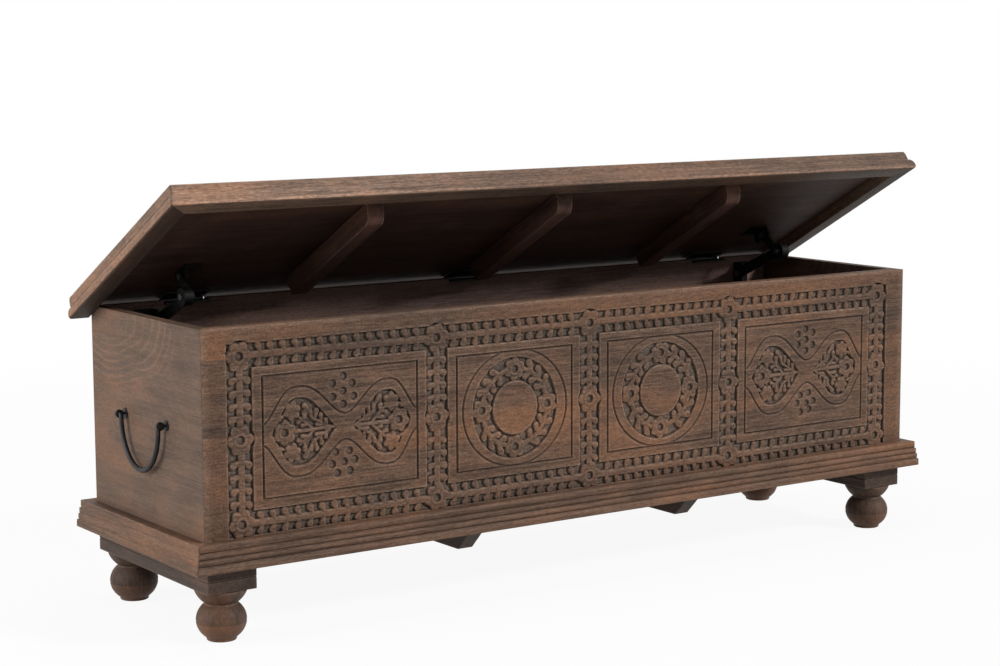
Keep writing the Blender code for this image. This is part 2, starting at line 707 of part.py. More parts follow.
def hinge_leaf(name, x, plate_low, knuckles, parent):
    """A flat leaf with its knuckles, measured from the hinge axis, bored for the pin."""
    half = HINGE_LENGTH / 2
    front = -KNUCKLE_RADIUS - HINGE_LEAF_WIDTH
    rear = -KNUCKLE_RADIUS - LEAF_PLAY
    high = plate_low + HINGE_LEAF_THICKNESS
    bm = box((x - half, front, plate_low), (x + half, rear, high))
    leaf = piece(name, bm, "black_iron", parent)
    barrels = []
    for start, end in knuckles:
        tab = box((x + start, rear - LEAF_PLAY, plate_low), (x + end, 0, high))
        barrels.append(cutter("cut_tab", tab, parent))
        outline = circle((0, 0), KNUCKLE_RADIUS, KNUCKLE_SIDES)
        barrels.append(cutter("cut_barrel", prism(outline, "X", x + start, x + end), parent))
    for barrel in barrels:
        apply_boolean(leaf, "UNION", barrel)
    bore = circle((0, 0), HINGE_PIN_RADIUS + PIN_PLAY, KNUCKLE_SIDES)
    bm = prism(bore, "X", x - HINGE_LENGTH, x + HINGE_LENGTH)
    apply_boolean(leaf, "DIFFERENCE", cutter("cut_bore", bm, parent))


def hinges(chest_axis, lid):
    """Three butt hinges: end knuckles on the chest, the middle one on the lid, and a pin."""
    half = HINGE_LENGTH / 2
    third = HINGE_LENGTH / 6
    outer = ((-half, -third - GAP), (third + GAP, half))
    pin = [(0, -half), (HINGE_PIN_RADIUS, -half), (HINGE_PIN_RADIUS, half), (0, half)]
    for name, x in HINGE_PLACES.items():
        chest_plate = CHEST_LEAF_BOTTOM - HINGE_Z
        lid_plate = LID_LEAF_TOP - HINGE_LEAF_THICKNESS - HINGE_Z
        hinge_leaf(f"{name}_hinge_chest_leaf", x, chest_plate, outer, chest_axis)
        hinge_leaf(f"{name}_hinge_lid_leaf", x, lid_plate, ((-third, third),), lid)
        bm = turned(pin, KNUCKLE_SIDES, ALONG_X)
        piece(f"{name}_hinge_pin", bm, "zinc_steel", chest_axis, (x, 0, 0))


# Folding stays: each pair of arms makes a parallelogram with the wall and the lid


def layer_faces(side, layer):
    """The inner and outer x of one plate of a stay, the layers counted from the chest's end inwards."""
    outer = STAY_FROM_MIDDLE - layer * (STAY_PLATE + STAY_LAYER_GAP)
    return side * (outer - STAY_PLATE), side * outer


def stay_hole(target, side, centre, parent):
    """A hole for a stay's pin, through every layer."""
    outline = circle(centre, STAY_PIN_RADIUS + PIN_PLAY, KNUCKLE_SIDES)
    start = side * (STAY_FROM_MIDDLE + BRACKET_WIDTH)
    end = side * (STAY_FROM_MIDDLE - BRACKET_WIDTH)
    apply_boolean(target, "DIFFERENCE", cutter("cut_pin_hole", prism(outline, "X", start, end), parent))


def stay_pin(name, inner, outer, centre, parent):
    """A rivet whose heads lie against an inner and an outer face."""
    start = min(inner, outer) - GAP
    length = abs(outer - inner) + 2 * GAP
    profile = rivet(length, STAY_PIN_RADIUS, STAY_PIN_HEAD_RADIUS, STAY_PIN_HEAD)
    bm = turned(profile, KNUCKLE_SIDES, ALONG_X)
    piece(name, bm, "zinc_steel", parent, (start, centre.x, centre.y))


def wall_bracket(name, side):
    """An angle on the inside of the back: a plate on the wall and a lug for the wall pin."""
    inner, outer = layer_faces(side, 0)
    far = outer + side * BRACKET_WIDTH
    wall = BACK_INSIDE - GAP
    front = WALL_PIVOT.x - STAY_WALL_EYE_RADIUS
    outline = (
        (inner, wall),
        (inner, front),
        (outer, front),
        (outer, wall - BRACKET_PLATE),
        (far, wall - BRACKET_PLATE),
        (far, wall),
    )
    low = WALL_PIVOT.y - BRACKET_LENGTH / 2
    bm = prism(outline, "Z", low, low + BRACKET_LENGTH)
    bracket = piece(f"{name}_stay_wall_bracket", bm, "black_iron")
    stay_hole(bracket, side, WALL_PIVOT, None)


def lid_bracket(name, side, lid):
    """An angle under the lid: a plate on the panel and a lug for the lid pin."""
    inner, outer = layer_faces(side, 3)
    far = inner - side * BRACKET_WIDTH
    top = LID_UNDERSIDE - HINGE_Z - GAP
    low = LID_PIVOT.y - STAY_LID_EYE_RADIUS
    outline = (
        (outer, top),
        (outer, low),
        (inner, low),
        (inner, top - BRACKET_PLATE),
        (far, top - BRACKET_PLATE),
        (far, top),
    )
    start = LID_PIVOT.x - BRACKET_LENGTH / 2
    bm = prism(outline, "Y", start, start + BRACKET_LENGTH)
    bracket = piece(f"{name}_stay_lid_bracket", bm, "black_iron", lid)
    stay_hole(bracket, side, LID_PIVOT, lid)


def stay_arms(name, side, lower_pivot, upper_pivot):
    """The lower arm with its spring drum turns with the lid; the upper arm keeps its direction."""
    origin = Vector((0, 0))
    inner, outer = layer_faces(side, 1)
    outline = link_outline(origin, STAY_WALL_EYE_RADIUS, LID_PIVOT, STAY_ELBOW_RADIUS)
    lower = piece(f"{name}_stay_lower_arm", prism(outline, "X", inner, outer), "black_iron", lower_pivot)
    drum = circle(LID_PIVOT, STAY_DRUM_RADIUS, STAY_DRUM_SIDES)
    bm = prism(drum, "X", inner, outer + side * STAY_DRUM_DEPTH)
    apply_boolean(lower, "UNION", cutter("cut_drum", bm, lower_pivot))
    for centre in (origin, LID_PIVOT):
        stay_hole(lower, side, centre, lower_pivot)

    far = Vector((HINGE_Y, HINGE_Z)) - WALL_PIVOT
    outline = link_outline(origin, STAY_ELBOW_RADIUS, far, STAY_LID_EYE_RADIUS)
    bm = prism(outline, "X", *layer_faces(side, 2))
    upper = piece(f"{name}_stay_upper_arm", bm, "black_iron", upper_pivot)
    for centre in (origin, far):
        stay_hole(upper, side, centre, upper_pivot)


def stay_pins(name, side, lower_pivot, lid):
    """Rivets at the wall lug, at the elbow through the drum and both arms, and at the lid lug."""
    lug_outer = layer_faces(side, 0)[1]
    lower_inner, lower_outer = layer_faces(side, 1)
    upper_inner, upper_outer = layer_faces(side, 2)
    lid_lug_inner = layer_faces(side, 3)[0]
    drum_outer = lower_outer + side * STAY_DRUM_DEPTH
    stay_pin(f"{name}_stay_wall_pin", lower_inner, lug_outer, WALL_PIVOT, None)
    stay_pin(f"{name}_stay_elbow_pin", upper_inner, drum_outer, LID_PIVOT, lower_pivot)
    stay_pin(f"{name}_stay_lid_pin", lid_lug_inner, upper_outer, LID_PIVOT, lid)


def lid_stays(lid):
    """Both stays, with the elbow where the parallelogram puts it at the rest angle."""
    cosine, sine = math.cos(LID_OPEN), math.sin(LID_OPEN)
    opened = Vector((LID_PIVOT.x * cosine + LID_PIVOT.y * sine, LID_PIVOT.y * cosine - LID_PIVOT.x * sine))
    elbow = WALL_PIVOT + opened
    for side, name in ((-1, "left"), (1, "right")):
        lower_pivot = pivot(f"{name}_stay_lower", (0, WALL_PIVOT.x, WALL_PIVOT.y), -LID_OPEN)
        upper_pivot = pivot(f"{name}_stay_upper", (0, elbow.x, elbow.y))
        wall_bracket(name, side)
        lid_bracket(name, side, lid)
        stay_arms(name, side, lower_pivot, upper_pivot)
        stay_pins(name, side, lower_pivot, lid)


# Bail handles


def bail_route():
    """The wire's centre line as (y, z) from the pivot axis: stub, bend, half ellipse, bend, stub."""
    end = EYE_Y + EYE_THICKNESS / 2 + BAIL_STUB_END
    bend = BAIL_BEND_RADIUS
    half = [(-end, 0.0)]
    half += arc((-BAIL_HALF_WIDTH - bend, -bend), (bend, bend), 90, 0, 4)
    curve = arc((0, -bend), (BAIL_HALF_WIDTH, BAIL_DROP - bend), 180, 360, 20)
    mirrored = [(-y, z) for y, z in reversed(half)]
    return half + curve[1:-1] + mirrored


def bail(name, hang):
    """A round wire handle that hangs in two eyes."""
    curve = bpy.data.curves.new(f"{name}_bail", "CURVE")
    curve.dimensions = "3D"
    curve.bevel_depth = BAIL_WIRE_RADIUS
    curve.bevel_resolution = 2
    curve.use_fill_caps = True
    route = bail_route()
    spline = curve.splines.new("POLY")
    spline.points.add(len(route) - 1)
    for point, (y, z) in zip(spline.points, route):
        point.co = (0, y, z, 1)
    curve.materials.append(finish_material("black_iron"))
    made = bpy.data.objects.new(f"{name}_bail", curve)
    bpy.context.scene.collection.objects.link(made)
    made.parent = hang


def handle_eye(name, side, y):
    """A ring for the bail on a shank that passes through a round plate into the end of the chest."""
    axis_x = side * (HALF_LENGTH + EYE_STANDOFF)
    ring = prism(circle((0, 0), EYE_RADIUS, EYE_SIDES), "Y", -EYE_THICKNESS / 2, EYE_THICKNESS / 2)
    eye = piece(name, ring, "black_iron", place=(axis_x, y, HANDLE_Z))
    face = EYE_STANDOFF - GAP
    stem = [
        (0, 0),
        (EYE_SHANK_RADIUS, 0),
        (EYE_SHANK_RADIUS, face - EYE_ROSE_THICKNESS),
        (EYE_ROSE_RADIUS, face - EYE_ROSE_THICKNESS),
        (EYE_ROSE_RADIUS, face),
        (EYE_SHANK_RADIUS, face),
        (EYE_SHANK_RADIUS, EYE_STANDOFF + EYE_SHANK_DEPTH),
        (0, EYE_STANDOFF + EYE_SHANK_DEPTH),
    ]
    bm = turned(stem, KNUCKLE_SIDES, Matrix.Rotation(math.radians(-90 * side), 4, "Y"))
    apply_boolean(eye, "UNION", cutter("cut_shank", bm, eye))
    bore = EYE_THICKNESS + EYE_RADIUS
    hole = prism(circle((0, 0), BAIL_WIRE_RADIUS + EYE_PLAY, KNUCKLE_SIDES), "Y", -bore, bore)
    apply_boolean(eye, "DIFFERENCE", cutter("cut_eye", hole, eye))


def handles():
    for side, name in ((-1, "left"), (1, "right")):
        axis = (side * (HALF_LENGTH + EYE_STANDOFF), 0, HANDLE_Z)
        bail(name, pivot(f"{name}_handle", axis))
        handle_eye(f"{name}_front_handle_eye", side, -EYE_Y)
        handle_eye(f"{name}_back_handle_eye", side, EYE_Y)


def build():
    clear_scene()
    front_panel()
    end_panels()
    back_panel()
    bottom_board()
    base_mouldings()
    underframe()
    feet()
    chest_axis = pivot("hinge_axis", (0, HINGE_Y, HINGE_Z))
    lid = pivot("lid", (0, HINGE_Y, HINGE_Z), -LID_OPEN)
    lid_panel(lid)
    lid_rails(lid)
    lid_battens(lid)
    hinges(chest_axis, lid)
    lid_stays(lid)
    handles()


build()
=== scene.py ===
# %% [markdown]
# # A carved storage bench
# This lesson dresses a low hardwood chest on turned feet. Its front is carved with leafy bands,
# two round medallions and two pairs of drops, and its lid stands part open on folding stays.
# The sizes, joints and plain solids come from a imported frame, which is never moved. Every cell
# below adds one piece or one finish, and says how it could be made and why it was made this way.

# %% Load the frame
import json
import math

import bmesh
import bpy
import numpy as np
from mathutils import Matrix, Vector

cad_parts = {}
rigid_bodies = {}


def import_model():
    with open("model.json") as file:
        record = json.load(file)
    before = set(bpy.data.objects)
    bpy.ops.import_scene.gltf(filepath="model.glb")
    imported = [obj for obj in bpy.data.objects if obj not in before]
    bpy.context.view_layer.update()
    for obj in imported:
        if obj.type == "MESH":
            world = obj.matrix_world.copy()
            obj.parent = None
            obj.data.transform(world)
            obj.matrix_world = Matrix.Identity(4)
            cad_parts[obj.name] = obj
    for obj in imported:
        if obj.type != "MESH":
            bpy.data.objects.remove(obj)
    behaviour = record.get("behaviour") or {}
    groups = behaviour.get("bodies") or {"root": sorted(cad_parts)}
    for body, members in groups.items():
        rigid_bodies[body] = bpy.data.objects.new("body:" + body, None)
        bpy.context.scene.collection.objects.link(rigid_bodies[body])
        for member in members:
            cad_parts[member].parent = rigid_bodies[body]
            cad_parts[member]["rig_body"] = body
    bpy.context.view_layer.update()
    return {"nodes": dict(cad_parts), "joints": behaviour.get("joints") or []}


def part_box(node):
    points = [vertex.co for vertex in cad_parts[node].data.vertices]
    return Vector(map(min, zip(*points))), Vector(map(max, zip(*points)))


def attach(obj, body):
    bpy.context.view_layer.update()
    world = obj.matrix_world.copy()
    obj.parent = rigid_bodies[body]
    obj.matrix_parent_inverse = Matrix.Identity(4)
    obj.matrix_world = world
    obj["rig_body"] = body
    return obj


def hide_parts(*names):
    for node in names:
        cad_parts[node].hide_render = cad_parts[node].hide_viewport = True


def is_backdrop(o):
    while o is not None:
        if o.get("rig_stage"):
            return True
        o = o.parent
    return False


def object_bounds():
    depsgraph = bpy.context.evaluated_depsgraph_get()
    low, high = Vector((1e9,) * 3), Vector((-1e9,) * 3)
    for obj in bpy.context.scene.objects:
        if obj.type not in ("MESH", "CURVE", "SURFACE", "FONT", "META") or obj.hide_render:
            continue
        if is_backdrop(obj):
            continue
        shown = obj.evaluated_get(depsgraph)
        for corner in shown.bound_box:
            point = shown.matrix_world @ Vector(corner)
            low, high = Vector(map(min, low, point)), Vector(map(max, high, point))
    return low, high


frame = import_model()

nodes = frame["nodes"]
joints = {joint["name"]: joint for joint in frame["joints"]}

# %% [markdown]
# ## Writing shaders as sums
# A finish is a net of nodes, and nets are hard to read in code. Here one small class holds a
# socket, and Python's operators on it add the Math nodes, so that a mask reads as a sum. Every
# other node comes from its one method: first the node's settings, then what goes into its sockets.

# %% A socket that can be added and multiplied


class Value:
    """One socket of a shader, or only its tree to start from."""

    def __init__(self, tree, socket=None):
        self.tree = tree
        self.socket = socket

    def node(self, kind, settings=None, sockets=None, out=0):
        """Adds a node: its settings first, then the values or links of its sockets."""
        made = self.tree.nodes.new("ShaderNode" + kind)
        for name, setting in (settings or {}).items():
            setattr(made, name, setting)
        for name, given in (sockets or {}).items():
            if isinstance(given, Value):
                self.tree.links.new(given.socket, made.inputs[name])
            else:
                made.inputs[name].default_value = given
        return Value(self.tree, made.outputs[out])

    def maths(self, operation, first, second):
        """A Math node on two values."""
        return self.node("Math", {"operation": operation}, {0: first, 1: second})

    def __add__(self, other):
        return self.maths("ADD", self, other)

    def __sub__(self, other):
        return self.maths("SUBTRACT", self, other)

    def __rsub__(self, other):
        return self.maths("SUBTRACT", other, self)

    def __mul__(self, other):
        return self.maths("MULTIPLY", self, other)

    def __gt__(self, other):
        return self.maths("GREATER_THAN", self, other)

    def __lt__(self, other):
        return self.maths("LESS_THAN", self, other)

    __radd__ = __add__
    __rmul__ = __mul__

    def absolute(self):
        """The same value without its sign."""
        return self.maths("ABSOLUTE", self, 0.0)

    def limited(self):
        """The same value kept between 0 and 1."""
        return self.node("Math", {"operation": "MULTIPLY", "use_clamp": True}, {0: self, 1: 1.0})

    def axis(self, name):
        """One of a vector's three numbers."""
        return self.node("SeparateXYZ", None, {0: self}, out=name)

    def stretched(self, scale):
        """A vector multiplied axis by axis."""
        return self.node("VectorMath", {"operation": "MULTIPLY"}, {0: self, 1: scale})

    def ease(self, low, high):
        """0 below low, 1 above high, and a smooth climb between them."""
        ends = {"Value": self, "From Min": low, "From Max": high}
        return self.node("MapRange", {"interpolation_type": "SMOOTHSTEP"}, ends)

    def blend(self, first, second):
        """Two colours mixed by this value."""
        return self.node("Mix", {"data_type": "RGBA"}, {0: self, 6: first, 7: second}, out=2)


print("shader sums ready")

# %% [markdown]
# ### An empty finish
# Every finish starts from Blender's own Principled shader. A number that is the same all over a
# surface is set on the shader's socket, and only what changes over the surface is linked to one.

# %% An empty finish


def new_finish(name):
    """An empty finish: its material, its tree as a Value, and its shader."""
    material = bpy.data.materials.new(name)
    material.use_nodes = True
    return material, Value(material.node_tree), material.node_tree.nodes["Principled BSDF"]


def feed(shader, **links):
    """Links values to the shader's sockets, written with _ for the space in their names."""
    for name, value in links.items():
        socket = shader.inputs[name.replace("_", " ")]
        value.tree.links.new(value.socket, socket)


print("empty finish ready")

# %% [markdown]
# ## Stained hardwood
# The bench is dark-stained hardwood: greyish brown, with warmer patches where the stain is thin,
# long streaks, fine fibres, flecks and short dark pores, all drawn out along the grain. They could be
# painted, but a noise squeezed along the grain gives them on a board of any size, so one table
# serves every board. It holds the waves per metre along the grain and across it, and the detail.

# %% Layers of grain
GRAIN = {
    "patch": (3.0, 15.0, 3.0),
    "cloud": (14.0, 26.0, 3.0),
    "streak": (4.0, 150.0, 3.0),
    "fibre": (22.0, 640.0, 2.0),
    "fleck": (110.0, 420.0, 2.0),
    "mottle": (290.0, 400.0, 1.0),
    "pore": (150.0, 1400.0, 1.0),
}


def drawn_noise(place, grain, along, wide, detail):
    """A noise drawn out along one axis of the frame."""
    scale = [wide] * 3
    scale["XYZ".index(grain)] = along
    sockets = {"Vector": place.stretched(scale), "Scale": 1.0, "Detail": detail}
    return place.node("TexNoise", None, sockets)


print("layers of grain:", ", ".join(GRAIN))

# %% [markdown]
# ### Boards and arches
# A wide panel is glued up from boards, and each takes the stain in its own way. A finish lists where
# each board begins and how warm it is, and a thin dark line marks the joint. The ends of the chest
# show arches instead, where the saw crossed the yearly rings. A wave texture could be bent to that
# shape, but bands of distance from one point, in a space pressed flat, are simpler.

# %% Boards and arches
GLUE_LINE = 0.0005
GLUE_DARKER = 0.3
TINT_PALER = 0.22
ARCH_WOBBLE = 0.04


def glued_boards(where, boards, shown, warmth, gain):
    """The warmth and the brightness of each board, as far as the boards can be told apart."""
    before = 0.0
    for seam, tint in boards:
        step = (where > seam) * shown
        warmth = warmth + step * (tint - before)
        gain = gain + step * ((tint - before) * TINT_PALER)
        line = 1 - (where - seam).absolute().ease(0, GLUE_LINE)
        gain = gain - line * shown * GLUE_DARKER
        before = tint
    return warmth, gain


def arches(place, grain, arch, cloud):
    """Bands round a point, seen in a ring between it and the arch's reach."""
    centre, squash, spacing, reach = arch
    ends = {0: place.stretched(squash), 1: centre}
    away = place.node("VectorMath", {"operation": "DISTANCE"}, ends, out="Value")
    bent = away + (drawn_noise(place, grain, 6.0, 9.0, 2.0) - 0.5) * ARCH_WOBBLE
    phase = bent.maths("FRACT", bent * (1 / spacing), 0.0)
    band = phase.ease(0.2, 0.5) - phase.ease(0.5, 0.8)
    ring = away.ease(reach * 0.2, reach * 0.4) * (1 - away.ease(reach * 0.7, reach))
    return band * ring * cloud.ease(0.25, 0.5)


print("boards and arches ready")

# %% [markdown]
# ### Wear, dirt and painted shade
# Hands and cloths rub the stain off the edges, and the corners are darkened with dirt and painted shade.
# On a plain board the Bevel node finds the edges, because its soft normal leaves the true one only there.
# The carving is all edges, so it brings three masks that are made with its mesh instead: how deep a point
# lies, how far it stands out from what is round it, and how much dirt and painted shade its corner gets.

# %% Rubbed edges, and corners of dirt and painted shade
# The pores' dark colour, also used for the dirt and painted shade in the carving's corners.
PORE_AND_SHADE = (0.016, 0.010, 0.008, 1)
RUBBED = (0.30, 0.205, 0.15, 1)
GROUND_DUST_AND_LIGHT = (0.094, 0.077, 0.064, 1)
EDGE_RADIUS = 0.0034


def edge_wear(start, colour, streak):
    """The colour rubbed paler at edges, and the soft normal that found them."""
    soft = start.node("Bevel", {"samples": 4}, {"Radius": EDGE_RADIUS})
    sharp = start.node("NewGeometry", out="Normal")
    same = start.node("VectorMath", {"operation": "DOT_PRODUCT"}, {0: soft, 1: sharp}, out="Value")
    edge = (1 - same).ease(0.01, 0.2)
    return (edge * (0.1 + streak * 0.9)).blend(colour, RUBBED), soft


def carved_wear(start, colour, streak):
    """The carving's colour with a grey ground of dust and painted light, corners of dirt and painted
    shade, rubbed tops, and its depth.
    """
    sunk = start.node("Attribute", {"attribute_name": "sunk"}, out="Fac")
    rubbed = start.node("Attribute", {"attribute_name": "rubbed"}, out="Fac")
    dirt = start.node("Attribute", {"attribute_name": "dirt"}, out="Fac")
    # The sunk ground is greyed and paled: dust, and painted light where the ground gets less light.
    colour = (sunk * 0.7).blend(colour, GROUND_DUST_AND_LIGHT)
    # Corners darkened towards the pore colour: dirt and painted shade.
    colour = (dirt * 0.75).blend(colour, PORE_AND_SHADE)
    return (rubbed * (0.1 + streak * 0.5)).blend(colour, RUBBED), sunk


print("wear ready")

# %% [markdown]
# ### Thick stain, painted shade and painted light
# The stain is thicker on the plain frame round the carving. The back is paled inside with painted light,
# and its outside keeps a darker outer stain. Faces that look down get painted shade, and the lid's lip
# gets painted light on its upright faces and towards the lid's left end. Each of these is a mask from
# the place or the direction of a face. They multiply the colour at the end, so that the grain shows
# through them.

# %% Thick stain, painted shade and painted light
STILE_EDGE = 0.631
RAIL_EDGE = 0.394
FRAME_DARKER = 0.2
LEFT_LIGHT_BASE = 0.83
LEFT_LIGHT_END = 0.65
OUTER_STAIN = (0.110, 0.056, 0.034, 1)
OUTER_STAIN_SHARE = 0.45
OUTER_DARKER = 0.36


def frame_of_carving(place, gain):
    """A darker frame round the carving, and where boards can be told apart on it."""
    sideways = place.axis("X")
    stile = sideways.absolute() > STILE_EDGE
    framing = stile.maths("MAXIMUM", stile, place.axis("Z") > RAIL_EDGE)
    blotch = drawn_noise(place, "X", 2.5, 8.0, 1.0).ease(0.42, 0.62)
    shown = blotch.maths("MAXIMUM", blotch * 0.6, sideways < -STILE_EDGE)
    return gain * (1 - framing * FRAME_DARKER), shown


def painted_shade_and_light_by_direction(start, gain, painted_shade_below, painted_light_upright):
    """Painted shade on faces that look down, painted light on upright ones."""
    facing = start.node("TexCoord", out="Normal").axis("Z")
    upright = facing.ease(-0.5, -0.25) * (1 - facing.ease(0.25, 0.5))
    return gain * (1 - (0 - facing).ease(0.3, 0.6) * painted_shade_below) * (1 + upright * painted_light_upright)


def painted_light_to_the_left(place, gain, painted_left_light):
    """Painted light: paler from the middle towards the left end."""
    return gain * (LEFT_LIGHT_BASE + (0 - place.axis("X")).ease(0, LEFT_LIGHT_END) * painted_left_light)


def outer_face(place, behind, colour, gain):
    """The outside of a board whose inside is paled with painted light, given a darker outer stain."""
    outside = place.axis("Y") > behind
    colour = (outside * OUTER_STAIN_SHARE).blend(colour, OUTER_STAIN)
    return colour, gain * (1 - outside * OUTER_DARKER)


print("thick and thin stain ready")

# %% [markdown]
# ### One wood from all of these
# Streaks and fibres mix a dark and a middle tone, patches warm it, pores darken it, and the wear
# comes on top. The same fibres and pores also drive the bump, so that what looks like a pore
# catches the light like one. A lid's board is turned, so its grain is turned with it.

# %% Wood


def wood(name, grain, dark, mid, warm, specks=(0.84, 0.2), gloss=0.16, tilt=0.0, boards=(), across="Z",
         arch=None, carved=False, painted_shade_below=0.0, painted_light_upright=0.0, behind=None, painted_left_light=0.0):
    """A stained wood whose grain runs along an axis of the frame, turned about X by tilt."""
    material, start, shader = new_finish(name)
    place = start.node("TexCoord", out="Object")
    if tilt:
        turn = {"Vector": place, "Angle": tilt}
        place = start.node("VectorRotate", {"rotation_type": "X_AXIS"}, turn)
    layers = [drawn_noise(place, grain, *sizes) for sizes in GRAIN.values()]
    patch, cloud, streak, fibre, fleck, mottle, pore = layers
    pore = pore.ease(0.58, 0.68)
    tone = (streak * 0.38 + fibre * 0.5 + cloud * 0.12).ease(0.38, 0.60)
    warmth = patch.ease(0.48, 0.68) * 0.55 + cloud.ease(0.5, 0.7) * 0.25
    gain = 0.74 - sum(specks) / 2 + cloud * 0.3 + patch * 0.22
    gain = gain + fleck * specks[0] + mottle * specks[1]
    shown = 1.0
    if carved:
        gain, shown = frame_of_carving(place, gain)
    if boards:
        warmth, gain = glued_boards(place.axis(across), boards, shown, warmth, gain)
    if arch:
        figure = arches(place, grain, arch, cloud)
        warmth = warmth + figure * 0.25
        gain = gain + figure * 0.2
    colour = warmth.limited().blend(tone.blend(dark, mid), warm)
    colour = (pore * 0.4).blend(colour, PORE_AND_SHADE)
    rough = 0.44 + fibre * 0.26
    if carved:
        colour, sunk = carved_wear(start, colour, streak)
        rough = rough + sunk * 0.2
        normal = start.node("NewGeometry", out="Normal")
    else:
        colour, normal = edge_wear(start, colour, streak)
    # Painted shade on faces that look down, painted light on upright faces.
    if painted_shade_below:
        gain = painted_shade_and_light_by_direction(start, gain, painted_shade_below, painted_light_upright)
    # Painted light towards the left end.
    if painted_left_light:
        gain = painted_light_to_the_left(place, gain, painted_left_light)
    # The outside of the back, without the inside's painted light.
    if behind:
        colour, gain = outer_face(place, behind, colour, gain)
    colour = start.node("VectorMath", {"operation": "SCALE"}, {0: colour, "Scale": gain})
    relief = fibre * 0.6 + streak * 0.4 + mottle * (specks[1] * 0.5) - pore * 0.9
    bump = {"Strength": 0.4, "Distance": 0.0006, "Height": relief, "Normal": normal}
    feed(shader, Base_Color=colour, Roughness=rough, Normal=start.node("Bump", None, bump))
    shader.inputs["Specular IOR Level"].default_value = gloss
    return material


print("wood ready")

# %% [markdown]
# ### The tones of each piece
# The same stain takes differently on each piece, so each has a dark, a middle and a warm tone. The
# lid's edge is palest, because hands lift it there. The inside is redder and dull, and the back and
# bottom inside are paler still with painted light. The battens under the lid are darker than the panel
# that they cross, as painted shade, and the bearers underneath are darkest.

# %% Tones


def tones(dark, mid, warm, **more):
    """Three tones with their alpha, and any other values of a finish."""
    return {"dark": (*dark, 1), "mid": (*mid, 1), "warm": (*warm, 1), **more}


DULL = 0.08
PLANED = {"gloss": DULL, "specks": (0.5, 0.1)}
STAIN = tones((0.061, 0.035, 0.024), (0.134, 0.079, 0.052), (0.184, 0.086, 0.044))
PALE_STAIN = tones((0.086, 0.053, 0.038), (0.182, 0.113, 0.078), (0.225, 0.114, 0.065))
END_STAIN = tones((0.076, 0.048, 0.034), (0.118, 0.074, 0.052), (0.156, 0.079, 0.044), specks=(0.6, 0.15))
INSIDE = tones((0.064, 0.033, 0.024), (0.135, 0.071, 0.053), (0.175, 0.082, 0.052), gloss=DULL)
# Painted light: the inside of the back and the bottom is paler, standing in for light inside the chest.
INSIDE_BACK_PAINTED_LIGHT = tones((0.140, 0.088, 0.073), (0.250, 0.165, 0.140), (0.270, 0.165, 0.128), **PLANED)
# Painted shade: the battens are darker, standing in for the shade under the lid.
BATTEN_PAINTED_SHADE = tones((0.040, 0.021, 0.016), (0.084, 0.044, 0.034), (0.110, 0.052, 0.034), **PLANED)
TURNED = tones((0.040, 0.025, 0.018), (0.090, 0.054, 0.039), (0.138, 0.068, 0.040))
BEARER = tones((0.031, 0.021, 0.016), (0.068, 0.043, 0.033), (0.094, 0.050, 0.033))
print("lid edge, middle tone:", PALE_STAIN["mid"])

# %% [markdown]
# ### The wood of each piece
# The carved front is glued up from four boards, the warmest along the top, and its face is the most
# flecked. The front of the base is scarfed from two lengths. The feet change tone at the line that
# is scored round them, and the ends carry the arches.

# %% The wood of each piece
LID_OPEN = math.radians(-joints["lid_hinge"]["range_deg"][0])
SKIN = 0.004
BACK_OUTER_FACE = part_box("back_panel")[1].y - SKIN
FRONT_SEAMS = ((0.0, 0.22), (0.199, 0.38), (0.297, -0.10), (0.405, 0.80))
FOOT_LINE = ((0.0, 0.35), (0.0268, -0.1))
SCARF_JOINT = ((-1.0, 0.05), (0.395, 0.30))
ARCH_ON_ENDS = ((0.0, 0.0575, 0.443), (0.0, 0.5, 1.0), 0.0105, 0.125)

finishes = {
    "carved_front": wood("carved_front", "X", specks=(1.3, 1.3), boards=FRONT_SEAMS, carved=True, **STAIN),
    "end_board": wood("end_board", "Y", arch=ARCH_ON_ENDS, **END_STAIN),
    "long_board": wood("long_board", "X", **STAIN),
    # The lid's edge gets painted shade below, and painted light on upright faces and towards the left.
    "lid_edge": wood("lid_edge", "X", specks=(1.7, 0.5), painted_shade_below=0.5, painted_light_upright=0.7, painted_left_light=0.66, **PALE_STAIN),
    "front_base": wood("front_base", "X", specks=(1.2, 0.6), boards=SCARF_JOINT, across="X", **STAIN),
    "lid_board": wood("lid_board", "X", painted_shade_below=0.6, **INSIDE),
    "cross_board": wood("cross_board", "Y", specks=(1.3, 0.3), **STAIN),
    "lid_side": wood("lid_side", "Y", specks=(1.5, 0.4), tilt=LID_OPEN, painted_shade_below=0.75, **PALE_STAIN),
    "inside_long": wood("inside_long", "X", behind=BACK_OUTER_FACE, **INSIDE_BACK_PAINTED_LIGHT),
    "batten": wood("batten", "Y", tilt=LID_OPEN, **BATTEN_PAINTED_SHADE),
    "bearer": wood("bearer", "Y", **BEARER),
    "turned_foot": wood("turned_foot", "Z", boards=FOOT_LINE, **TURNED),
}
print("woods:", ", ".join(finishes))

# %% [markdown]
# ## Black iron and zinc
# The handles and hinges are blackened iron: nearly black, a little brown where the finish is thin, and
# slightly uneven from the hammer. The stays are blacker still, and the pins and bolts are zinc-plated
# steel, darker and rougher on the stays. All four come from one function, because only the two tones and
# the roughness differ.

# %% Metal
BLOTCHES = 130.0
DENTS = 420.0
IRON_EDGE = 0.0006
METALLIC = 0.85


